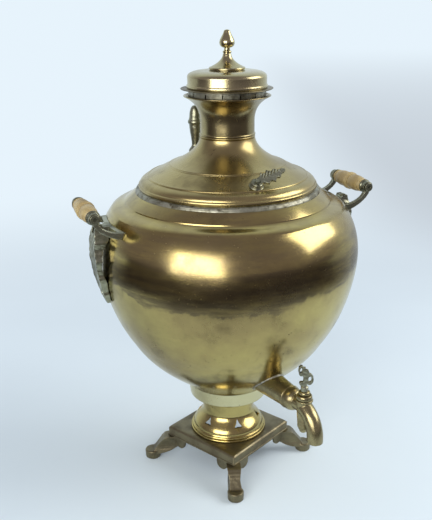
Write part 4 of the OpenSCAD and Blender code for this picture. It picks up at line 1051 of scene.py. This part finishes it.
@dataclass
class Handle:
    """One cast bracket with its turned grip."""

    side: str
    turn: float
    out: float = 179
    height: float = 371
    length: float = 64
    thick: float = 22
    rod: float = 5
    arm: float = 41
    leaf_tip: float = 254.645
    leaf_length: float = 100
    leaf_width: float = 30
    leaf_top: float = 358
    arm_top: float = 363
    channel: float = 38
    finish: TurnedWood = field(init=False)

    def __post_init__(self) -> None:
        """Gives the wood its grain along the grip."""
        self.finish = TurnedWood("turned wood " + self.side, -self.turn)

    def along(self) -> Matrix:
        """Returns the place of the grip's middle, with Z along the grip."""
        return (
            Matrix.Rotation(math.radians(self.turn), 4, "Z")
            @ Matrix.Translation((self.out, 0, self.height))
            @ Matrix.Rotation(math.pi / 2, 4, "X")
        )

    def grip_half(self) -> Outline:
        """Returns half the grip's outline, from its middle bead to its end."""
        r, e = self.thick / 2, self.length / 2
        return [
            *bead(at(r - 0.6, 0), at(r - 0.6, 2.6), 0.9, 10),
            *bead(at(r - 0.9, 2.6), at(r - 1, 4.6), 0.7, 10),
            at(r - 1.5, 4.8),
            *curve(at(r - 1.5, 4.8), at(r - 0.4, e * 0.4), at(r - 0.8, e * 0.7), at(r - 3.2, e - 6), 20),
            at(r - 3.6, e - 5.8),
            *bead(at(r - 3.3, e - 5.6), at(r - 3.3, e - 2.8), 1, 10),
            at(r - 3.8, e - 2.4), at(r - 4, e),
        ]

    def carving(self, points: np.ndarray) -> np.ndarray:
        """Returns the relief of the bracket: an acanthus leaf with a midrib, and channelled arms."""
        back = -math.radians(self.turn)
        across = points[:, 0] * math.sin(back) + points[:, 1] * math.cos(back)
        share = np.clip((points[:, 2] - self.leaf_tip) / self.leaf_length, 0, 1)
        half = self.leaf_width / 2 * (0.36 + 0.64 * np.sin(np.radians(165 * share)))
        edge = np.clip(np.abs(across) / half, 0, 1.2)
        veins = np.cos((share * 9 - edge * 1.5) * 2 * math.pi)
        leaf = (np.abs(across) < half + 1) * (points[:, 2] < self.leaf_top)
        midrib = np.exp(-((across / 1.6) ** 2))
        relief = leaf * (-0.55 * (0.5 + 0.5 * veins) * np.clip(edge * 3, 0, 1) + 0.15 * midrib)
        arms = np.abs(np.abs(across) - self.channel)
        on_arm = (np.abs(across) > 20) * (points[:, 2] < self.arm_top)
        relief = relief - 0.5 * np.exp(-((arms / 1.1) ** 2)) * on_arm
        return relief - 0.1 + 0.1 * ripple(points, 4, 9)

    def build(self, dresser: Dresser) -> None:
        """Builds and dresses the bracket, the grip, its ferrules and its rod."""
        name = self.side
        bracket = cast(f"handle_bracket_{name}_skin", f"handle_bracket_{name}", 0.5, 2, self.carving)
        dresser.place(bracket, Body.URN, Slot.BRONZE, BRONZE)
        half, hole, end = self.grip_half(), self.rod / 2, self.length / 2
        outline = [at(p.x, -p.y) for p in reversed(half)] + half + [at(hole, end), at(hole, -end)]
        grip = Mould(f"handle_grip_{name}_skin").spin(outline, self.along(), 96).piece(60)
        dresser.place(grip, Body.URN, Slot.WOOD, self.finish)
        edge = self.thick * 0.36
        ends = Mould(f"grip_ferrules_{name}_skin")
        ring = [
            at(edge, 0), at(edge + 0.5, 0.5), at(edge + 0.6, 1), at(edge + 0.4, 1.5),
            at(edge - 1, 3), at(hole, 3), at(hole, 0),
        ]
        for way in (1, -1):
            ends.spin([at(p.x, way * (p.y + end)) for p in ring], self.along(), 64)
        dresser.place(ends.piece(), Body.URN, Slot.BRONZE, BRONZE)
        arm = self.arm
        head = [
            at(0, arm + 1.2), at(hole - 0.3, arm + 1.2), at(hole, arm + 1.5), at(hole, arm + 2.1),
            *reversed(bead(at(self.rod, arm), at(self.rod, arm + 2.2), 0.7, 10)), at(hole, arm),
        ]
        whole = [at(p.x, -p.y) for p in head] + list(reversed(head))
        rod = Mould(f"handle_rod_{name}_skin").spin(whole, self.along(), 64).piece()
        dresser.place(rod, Body.URN, Slot.BRONZE, BRONZE)


@dataclass
class Cover:
    """The stepped cover with its neck, its rear knob and its steam vent."""

    bottom: float = 384
    rim: float = 109.5
    height: float = 62
    neck: float = 33.5
    sheet: float = 1.3
    bead_height: float = 3
    slope: Vector = field(default_factory=lambda: at(71.94, 26.784))
    vent_out: float = 90
    vent_turn: float = -11
    rise: float = 13.206
    leaf_turn: float = 14
    leaf_ribs: float = 4.2
    strokes: int = 64
    strokes_at: float = 79

    def face(self) -> Outline:
        """Returns the cover's outer face, from its rim up to its neck."""
        step, rise, slope = self.rim - 11, self.rise, self.slope
        neck = at(self.neck, self.height - self.bead_height)
        low = at(self.rim - 1.8, 5.2)
        shelf = at(step + 0.4, rise - 0.4)
        return [
            *bead(at(self.rim - 1, 0), at(self.rim - 1, 4.6), 1, 12),
            low,
            *curve(low, low + at(-0.8, 4), shelf + at(4.5, -1.6), shelf, 14),
            *bead(at(step, rise), at(step - 2.2, rise + 1.6), 0.8, 10),
            *curve(
                at(step - 2.6, rise + 1.7), at(step - 10, rise + 5),
                slope + at(8, -3.8), slope + at(1.4, -0.7), 22),
            *bead(slope + at(1, -0.5), slope + at(-0.6, 0.4), 0.35, 6),
            *bead(slope + at(-1, 0.5), slope + at(-2.8, 1.4), 0.35, 6),
            *curve(slope + at(-3, 1.5), slope + at(-16, 6), neck + at(2.5, -15), neck, 34),
            neck + at(-0.9, 0.4),
            *bead(neck + at(-0.6, 0.9), at(self.neck - 0.6, self.height), 0.8, 10),
        ]

    def line(self) -> Outline:
        """Returns the plain line of the cover's sheet."""
        step, rise, slope = self.rim - 11, self.rise, self.slope
        neck = at(self.neck, self.height - self.bead_height)
        low = at(self.rim - 1.5, 5)
        return [
            at(self.rim, 0), low,
            *curve(low, low + at(-0.8, 4), at(step + 4.5, rise - 1.6), at(step, rise), 8),
            at(step - 2.5, rise + 1.6),
            *curve(at(step - 2.5, rise + 1.6), at(step - 10, rise + 5), slope + at(8, -3.8), slope, 10),
            *curve(slope, slope + at(-16, 6), neck + at(2.5, -15), neck, 20),
            neck + at(-1, 0.8), at(self.neck - 1, self.height),
        ]

    def vent_frame(self) -> Matrix:
        """Returns the vent's place, with Z square to the cover."""
        line = self.line()
        tilt = math.atan2(height_at(line, self.vent_out - 3) - height_at(line, self.vent_out + 3), 6)
        return (
            Matrix.Rotation(math.radians(self.vent_turn), 4, "Z")
            @ Matrix.Translation((0, -self.vent_out, self.bottom + height_at(line, self.vent_out)))
            @ Matrix.Rotation(tilt, 4, "X")
        )

    def leaf_carving(self, points: np.ndarray) -> np.ndarray:
        """Returns the relief of the vent's leaf: a midrib and slanting ribs."""
        local = np.array(self.vent_frame().inverted())
        place = points @ local[:3, :3].T + local[:3, 3]
        inward = math.radians(self.leaf_turn)
        along = place[:, 0] * math.cos(inward) + place[:, 1] * math.sin(inward)
        across = np.abs(place[:, 1] * math.cos(inward) - place[:, 0] * math.sin(inward))
        ribs = np.cos((along - across * 0.9) * 2 * math.pi / self.leaf_ribs)
        share = np.clip((along - 6) / 3, 0, 1)
        midrib = np.exp(-((across / 1.1) ** 2))
        relief = share * (-0.55 * (0.5 + 0.5 * ribs) * (1 - midrib) + 0.12 * midrib)
        return relief + 0.08 * ripple(points, 3, 5) - 0.08

    def build(self, dresser: Dresser) -> None:
        """Builds and dresses the cover with what stands on it."""
        worn = dents(5, 16, 0.3, (8, 50), 80)

        def used(turn: np.ndarray, radius: np.ndarray, height: np.ndarray) -> np.ndarray:
            """Returns the dents, and a chased pattern of slanting strokes round the slope."""
            off = radius - self.strokes_at
            band = np.exp(-((off / 3.4) ** 4)) * (height > 14)
            strokes = np.clip(np.cos(self.strokes * turn + off * 0.8), 0, 1) ** 2
            return worn(turn, radius, height) - 0.22 * band * strokes

        outline = [*self.face(), *reversed(moved_in(self.line(), self.sheet))]
        place = Matrix.Translation((0, 0, self.bottom))
        shell = Mould("cover_shell_skin").spin(outline, place, 512, used).piece(30)
        dresser.place(shell, Body.COVER, Slot.BRASS, COVER_BRASS)
        knob = cast("rear_knob_skin", "rear_knob", 0.4, 2, lambda p: -0.06 + 0.06 * ripple(p, 5, 8))
        dresser.place(knob, Body.COVER, Slot.BRONZE, BRONZE)
        leaf = cast("vent_leaf_skin", "vent_leaf", 0.28, 3, self.leaf_carving)
        dresser.place(leaf, Body.VENT, Slot.BRONZE, BRONZE)
        dresser.place(cast("vent_seat_skin", "vent_seat", 0.35, 2), Body.COVER, Slot.BRONZE, BRONZE)


@dataclass
class Collar:
    """The flared draught collar."""

    bottom: float = 446
    height: float = 47
    low: float = 32.9
    neck: float = 33.5
    rim: float = 52.5
    sheet: float = 1.3

    def build(self, dresser: Dresser) -> None:
        """Builds and dresses the collar."""
        waist, rim = at(self.neck - 0.5, self.height * 0.36), at(self.rim - 1, self.height)
        foot = 3.6
        draw = (waist + at(0.5, self.height * 0.3), rim + at(-12.5, -self.height * 0.17))
        line = [at(self.low, 0), at(self.low, 3), waist, *curve(waist, *draw, rim, 28)]
        face = [
            *bead(at(self.low + 0.2, 0), at(self.low + 0.2, 2.8), 0.8, 10),
            at(self.low, 3),
            *[at(self.low + (waist.x - self.low) * i / 8, foot + (waist.y - foot) * i / 8) for i in range(9)],
            *curve(waist, *draw, rim + at(0, -1.6), 28),
            *bead(rim + at(0, -1.5), rim, 0.9, 10),
        ]
        outline = [*face, *reversed(moved_in(line, self.sheet))]
        collar = Mould("draught_collar_skin").spin(
            outline, Matrix.Translation((0, 0, self.bottom)), 256, dents(14, 12, 0.3, (6, 42), 36))
        dresser.place(collar.piece(30), Body.COLLAR, Slot.BRASS, NECK_BRASS)


@dataclass
class Cap:
    """The drum-shaped cap with its brim, its tinned band and its finial."""

    band_bottom: float = 491.22
    band_height: float = 9
    band: float = 46.5
    band_sheet: float = 1.2
    tabs: int = 14
    slit: float = 1.6
    brim: float = 55.5
    brim_height: float = 0.9
    drum: float = 47.3
    drum_height: float = 21
    sheet: float = 1.2
    disc: float = 21.5
    stem: float = 18
    finial_height: float = 45
    acorn: float = 9

    def drum_piece(self, bottom: float) -> bpy.types.Object:
        """Returns the drum, whose lower edge is at that height."""
        edge, top = at(self.drum, self.drum_height * 0.62), at(self.disc + 6, self.drum_height - 0.6)
        rounding = curve(edge, edge + at(0, 5.5), top + at(10, 0), top, 20)
        line = [at(self.drum, 0), edge, *rounding, at(4, self.drum_height)]
        face = [
            *bead(at(self.drum, 0), at(self.drum, 4.6), 1.1, 14),
            at(self.drum - 0.05, 4.9), edge, *rounding, at(4, self.drum_height),
        ]
        inner = moved_in(line, self.sheet)[:-1]
        outline = [*face, at(2, self.drum_height), at(2, self.drum_height - self.sheet), *reversed(inner)]
        return Mould("cap_shell_skin").spin(
            outline, Matrix.Translation((0, 0, bottom)), 256, dents(31, 10, 0.22, (5, 19), 45)).piece(30)

    def band_piece(self) -> bpy.types.Object:
        """Returns the tinned band, cut into tabs that have been bent by hand."""
        rng = np.random.default_rng(77)
        mould = Mould("cap_band_skin")
        wide = 2 * math.pi / self.tabs
        gap = self.slit / self.band
        full, solid = self.band_height, self.band_height * 0.3
        for i in range(self.tabs):
            lean, shorter, twist = rng.uniform(0.1, 0.9), rng.uniform(0, 0.7), rng.uniform(-0.5, 0.5)
            start = wide * i + gap / 2 * rng.uniform(0.7, 1.2)
            end = wide * (i + 1) - gap / 2 * rng.uniform(0.7, 1.2)
            turns = np.linspace(start, end, 11)
            heights = np.linspace(0, full - solid, 7)
            rows = []
            for h in heights:
                drop = 1 - h / (full - solid)
                inward = drop * (lean + twist * np.linspace(-1, 1, 11)) + 0.15 * np.abs(np.sin(9 * turns + h))
                outer = self.band - np.clip(inward, 0, 1.3)
                level = h + drop * shorter * (0.6 + 0.4 * np.sin(5 * turns))
                ring = [(r * math.cos(t), r * math.sin(t), z) for r, t, z in zip(outer, turns, level)]
                ring += [((r - self.band_sheet) * math.cos(t), (r - self.band_sheet) * math.sin(t), z)
                         for r, t, z in reversed(list(zip(outer, turns, level)))]
                rows.append(ring)
            columns = np.array(rows).transpose(1, 0, 2)
            mould.net(columns, Matrix.Translation((0, 0, self.band_bottom)), False)
        inside, low = self.band - self.band_sheet, full - solid - 0.05
        strip = [at(self.band, low), at(self.band, full), at(inside, full), at(inside, low)]
        mould.spin(strip, Matrix.Translation((0, 0, self.band_bottom)), 224)
        return mould.piece(50)

    def finial_base(self) -> Outline:
        """Returns the outline of the finial's bell-shaped base."""
        r = self.disc
        return [
            at(0, 0), at(r - 1, 0), *bead(at(r - 1, 0.4), at(r - 1, 2.9), 1, 12), at(r - 1.4, 3.1),
            *curve(at(r - 1.4, 3.1), at(r * 0.6, 6.4), at(r * 0.34, 10), at(5.3, 15.4), 20),
            at(5.0, 17.2), at(4.6, self.stem), at(0, self.stem),
        ]

    def finial_top(self) -> Outline:
        """Returns the outline of the finial's acorn and stem."""
        h, a = self.finial_height - self.stem, self.acorn
        waist, widest, shoulder = at(3.5, h * 0.24), at(a, h * 0.46), at(a * 0.42, h * 0.93)
        return [
            at(0, 0), at(4.2, 0), *bead(at(4.2, 0.6), at(4.2, 3.2), 1, 12), at(3.5, 3.8), waist,
            *curve(waist, at(a * 0.85, h * 0.27), at(a, h * 0.36), widest, 12),
            *curve(widest, at(a, h * 0.62), at(a * 0.55, h * 0.75), shoulder, 16),
            at(a * 0.36, h * 0.965), at(a * 0.22, h * 0.985), at(a * 0.08, h * 0.998), at(0, h),
        ]

    def build(self, dresser: Dresser) -> None:
        """Builds and dresses the cap from its band up to its finial."""
        brim_z = self.band_bottom + self.band_height
        drum_z = brim_z + self.brim_height
        finial_z = drum_z + self.drum_height
        dresser.place(self.band_piece(), Body.CAP, Slot.TIN, TIN)
        hole, t = self.band - self.band_sheet, self.brim_height
        edge = self.brim
        brim = [
            at(hole, 0), at(edge - 0.35, 0), at(edge, t * 0.3),
            at(edge, t * 0.7), at(edge - 0.35, t), at(hole, t),
        ]
        piece = Mould("cap_brim_skin").spin(
            brim, Matrix.Translation((0, 0, brim_z)), 256, dents(9, 8, 0.5, (0, 1), 50))
        dresser.place(piece.piece(60), Body.CAP, Slot.RED_BRASS, RED_BRASS)
        dresser.place(self.drum_piece(drum_z), Body.CAP, Slot.BRASS, CAP_BRASS)
        on_drum = Matrix.Translation((0, 0, finial_z))
        base = Mould("finial_base_skin").spin(self.finial_base(), on_drum, 128).piece(45)
        dresser.place(base, Body.CAP, Slot.BRASS, CAP_BRASS)
        stem = Matrix.Translation((0, 0, finial_z + self.stem))
        stud = [at(0, -self.stem - 6.2), at(2, -self.stem - 6.2), at(2, 1), at(0, 1)]
        top = Mould("finial_skin").spin(self.finial_top(), stem, 96).spin(stud, stem, 24).piece(45)
        dresser.place(top, Body.CAP, Slot.BRASS, CAP_BRASS)


@dataclass
class Insides:
    """What is hidden in the urn, or holds it together: shown as the CAD part has it."""

    brass: tuple[str, ...] = ("fire_tube", "neck_spigot", "pedestal_rivets")
    bronze: tuple[str, ...] = ("bracket_rivets_left", "bracket_rivets_right", "vent_screw")
    iron: tuple[str, ...] = ("fire_grate",)
    steel: tuple[str, ...] = ("foot_screws", "key_pin", "knob_nut", "finial_nut")

    def build(self, dresser: Dresser) -> None:
        """Dresses them."""
        dresser.keep(self.brass, NECK_BRASS)
        dresser.keep(self.bronze, BRONZE)
        dresser.keep(self.iron, IRON)
        dresser.keep(self.steel, STEEL)


# ---------- the studio ----------


@dataclass
class Window:
    """One soft light shaped as a window."""

    name: str
    turn: float
    rise: float
    away: float
    size: tuple[float, float]
    power: float
    colour: Colour = (1.0, 0.99, 0.96)

    def hang(self) -> None:
        """Hangs the light, facing the urn's belly."""
        lamp = bpy.data.lights.new(self.name, "AREA")
        lamp.shape, lamp.size, lamp.size_y = "RECTANGLE", *self.size
        lamp.energy, lamp.color = self.power, self.colour
        obj = bpy.data.objects.new(self.name, lamp)
        turn, rise = math.radians(self.turn), math.radians(self.rise)
        back = Vector((math.sin(turn) * math.cos(rise), -math.cos(turn) * math.cos(rise), math.sin(rise)))
        obj.location = back * self.away + Vector((0, 0, 0.3))
        obj.rotation_euler = back.to_track_quat("Z", "Y").to_euler()
        bpy.context.scene.collection.objects.link(obj)


@dataclass
class Studio:
    """The floor, the surroundings, the lights and the camera."""

    ground: Colour = (0.72, 0.81, 0.885)
    backdrop: Colour = (0.80, 0.90, 0.975)
    shade: Colour = (0.57, 0.63, 0.69)
    room: Colour = (0.30, 0.27, 0.33)
    ambient: Colour = (0.56, 0.59, 0.62)
    worn_ground: Colour = (0.62, 0.70, 0.77)
    ground_grain: Colour = (0.45, 0.5, 0.55)
    dark_room: Colour = (0.075, 0.065, 0.075)
    floor_reach: float = 14
    floor_steps: int = 96
    table: tuple[float, float] = (0.45, 0.64)
    lens: float = 51.92
    turn: float = -31
    down: float = 19.3
    roll: float = -0.5
    away: float = 0.905
    aside: float = -0.015
    height: float = 0.602
    windows: tuple[Window, ...] = (
        Window("left window", -57, 15, 2.2, (1.7, 1.1), 38),
        Window("right window", 60, 31, 2.2, (1.5, 1.3), 30),
    )

    def level(self) -> Vector:
        """Returns the level direction from the urn towards the camera."""
        turn = math.radians(self.turn)
        return Vector((math.sin(turn), -math.cos(turn), 0))

    def towards(self, mix: Recipe, place: bpy.types.NodeSocket, way: Vector) -> bpy.types.NodeSocket:
        """Returns how far a place lies in that direction."""
        node = mix.add("ShaderNodeVectorMath", operation="DOT_PRODUCT")
        mix.feed(node, 0, place)
        mix.feed(node, 1, tuple(way))
        return node.outputs["Value"]

    def glow(self, mix: Recipe, colour: object) -> bpy.types.NodeSocket:
        """Returns a plain glow of that colour."""
        node = mix.add("ShaderNodeEmission")
        mix.feed(node, "Color", colour)
        return node.outputs[0]

    def merge(self, mix: Recipe, share: object, a: object, b: object) -> bpy.types.NodeSocket:
        """Returns shader a where the share is 0, up to shader b where it is 1."""
        node = mix.add("ShaderNodeMixShader")
        for socket, value in enumerate((share, a, b)):
            mix.feed(node, socket, value)
        return node.outputs[0]

    def floor(self) -> None:
        """Lays the pale floor, which metal mirrors as a table in a dark room."""
        mix = Recipe("pale floor")
        paper = mix.noise(1.6, 3, 0.5)
        grain = mix.noise(40, 4, 0.6)
        ahead = self.towards(mix, mix.place, self.level())
        side = self.towards(mix, mix.place, Vector((-self.level().y, self.level().x, 0)))
        behind = mix.step(mix.sums("MULTIPLY", ahead, -1), -0.1, 0.5)
        dim = mix.sums("MULTIPLY", mix.step(side, 0.1, 0.7), behind)
        dim = mix.sums("MULTIPLY", dim, mix.step(ahead, -9, -0.9))
        near = mix.blend(mix.step(paper, 0.3, 0.7, 0.35), self.ground, self.worn_ground)
        near = mix.blend(mix.step(grain, 0.6, 0.8, 0.05), near, self.ground_grain)
        shader = mix.add("ShaderNodeBsdfDiffuse")
        mix.feed(shader, "Color", near)
        path = mix.add("ShaderNodeLightPath").outputs
        seen = mix.sums("MAXIMUM", path["Is Camera Ray"], path["Is Glossy Ray"])
        away = mix.add("ShaderNodeVectorMath", operation="LENGTH")
        mix.feed(away, 0, mix.place)
        far = mix.sums("MULTIPLY", mix.step(away.outputs["Value"], 0.35, 1.6), seen)
        backdrop = self.glow(mix, mix.blend(dim, self.backdrop, self.shade))
        pale = self.merge(mix, far, shader.outputs[0], backdrop)
        out_ahead = mix.sums("DIVIDE", mix.sums("MAXIMUM", ahead, 0), self.table[0])
        out_aside = mix.sums("DIVIDE", side, self.table[1])
        squares = mix.sums("ADD", mix.sums("POWER", out_ahead, 2), mix.sums("MULTIPLY", out_aside, out_aside))
        out = mix.sums("SQRT", squares, 0)
        wavy = mix.sums("ADD", out, mix.sums("MULTIPLY", mix.noise(3.2, 3, 0.5), 0.3))
        dark = mix.sums("MULTIPLY", mix.step(wavy, 1.1, 1.3), mix.step(ahead, -0.9, 0.1))
        dark = mix.sums("MULTIPLY", dark, path["Is Glossy Ray"])
        whole = self.merge(mix, dark, pale, self.glow(mix, self.dark_room))
        last = mix.add("ShaderNodeOutputMaterial")
        mix.tree.links.new(whole, last.inputs[0])
        steps = self.floor_steps
        turns = [2 * math.pi * i / steps for i in range(steps)]
        ring = [(self.floor_reach * math.cos(turn), self.floor_reach * math.sin(turn), 0) for turn in turns]
        mesh = bpy.data.meshes.new("floor")
        mesh.from_pydata([(0, 0, 0), *ring], [], [(0, i + 1, (i + 1) % steps + 1) for i in range(steps)])
        obj = bpy.data.objects.new("floor", mesh)
        obj.data.materials.append(mix.material)
        bpy.context.scene.collection.objects.link(obj)

    def surroundings(self) -> None:
        """Gives the pale backdrop, and the dim room on the camera's side that the metal mirrors."""
        world = bpy.data.worlds.new("room")
        world.use_nodes = True
        tree = world.node_tree
        tree.nodes.clear()
        nodes, links = tree.nodes, tree.links
        place = nodes.new("ShaderNodeTexCoord").outputs["Generated"]
        split = nodes.new("ShaderNodeSeparateXYZ")
        links.new(place, split.inputs[0])
        ramp = nodes.new("ShaderNodeValToRGB")
        stops = ((0.0, 0.4), (0.05, 0.9), (0.3, 1.0), (0.7, 0.85), (1.0, 0.95))
        for element, (position, level) in zip(ramp.color_ramp.elements, stops):
            element.position = position
            element.color = (*(level * c for c in self.room), 1)
        for position, level in stops[2:]:
            ramp.color_ramp.elements.new(position).color = (*(level * c for c in self.room), 1)
        links.new(split.outputs["Z"], ramp.inputs[0])
        behind = nodes.new("ShaderNodeVectorMath")
        behind.operation = "DOT_PRODUCT"
        links.new(place, behind.inputs[0])
        behind.inputs[1].default_value = -self.level()
        pale = nodes.new("ShaderNodeMapRange")
        pale.interpolation_type = "SMOOTHSTEP"
        links.new(behind.outputs["Value"], pale.inputs["Value"])
        pale.inputs["From Min"].default_value, pale.inputs["From Max"].default_value = 0.0, 0.75
        path = nodes.new("ShaderNodeLightPath")

        def pick(share: bpy.types.NodeSocket, a: object, b: object) -> bpy.types.NodeSocket:
            """Returns colour a where the share is 0, up to colour b where it is 1."""
            node = nodes.new("ShaderNodeMix")
            node.data_type = "RGBA"
            links.new(share, node.inputs["Factor"])
            for socket, value in ((6, a), (7, b)):
                if isinstance(value, bpy.types.NodeSocket):
                    links.new(value, node.inputs[socket])
                else:
                    node.inputs[socket].default_value = (*value, 1)
            return node.outputs[2]

        mirrored = pick(pale.outputs["Result"], ramp.outputs[0], self.backdrop)
        tone = pick(path.outputs["Is Glossy Ray"], self.ambient, mirrored)
        tone = pick(path.outputs["Is Camera Ray"], tone, self.backdrop)
        back = nodes.new("ShaderNodeBackground")
        links.new(tone, back.inputs["Color"])
        out = nodes.new("ShaderNodeOutputWorld")
        links.new(back.outputs[0], out.inputs[0])
        bpy.context.scene.world = world

    def camera(self) -> None:
        """Sets up the camera where the photograph was taken from."""
        turn, down = math.radians(self.turn), math.radians(self.down)
        level = self.level()
        right = Vector((math.cos(turn), math.sin(turn), 0))
        back = level * math.cos(down) + Vector((0, 0, math.sin(down)))
        up = back.cross(right)
        data = bpy.data.cameras.new("camera")
        data.lens, data.sensor_width = self.lens, 36
        data.clip_start, data.clip_end = 0.02, 60
        obj = bpy.data.objects.new("camera", data)
        roll = Matrix.Rotation(math.radians(self.roll), 4, "Z")
        pose = Matrix((right, up, back)).transposed().to_4x4() @ roll
        pose.translation = level * self.away + right * self.aside + Vector((0, 0, self.height))
        obj.matrix_world = pose
        bpy.context.scene.collection.objects.link(obj)
        bpy.context.scene.camera = obj

    def build(self) -> None:
        """Sets up everything round the urn."""
        self.floor()
        self.surroundings()
        for window in self.windows:
            window.hang()
        self.camera()
        bpy.context.scene.view_settings.view_transform = "Standard"


def main() -> None:
    """Builds the urn from its feet up, dresses it, and sets up the studio."""
    logging.basicConfig(level=logging.INFO, format="%(name)s: %(message)s")
    dresser = Dresser()
    vessel = Vessel()
    Base().build(dresser)
    Pedestal().build(dresser)
    vessel.build(dresser)
    Tap().build(dresser, vessel)
    Handle("right", -8).build(dresser)
    Handle("left", 172).build(dresser)
    Cover().build(dresser)
    Collar().build(dresser)
    Cap().build(dresser)
    Insides().build(dresser)
    Studio().build()


if __name__ == "__main__":
    main()
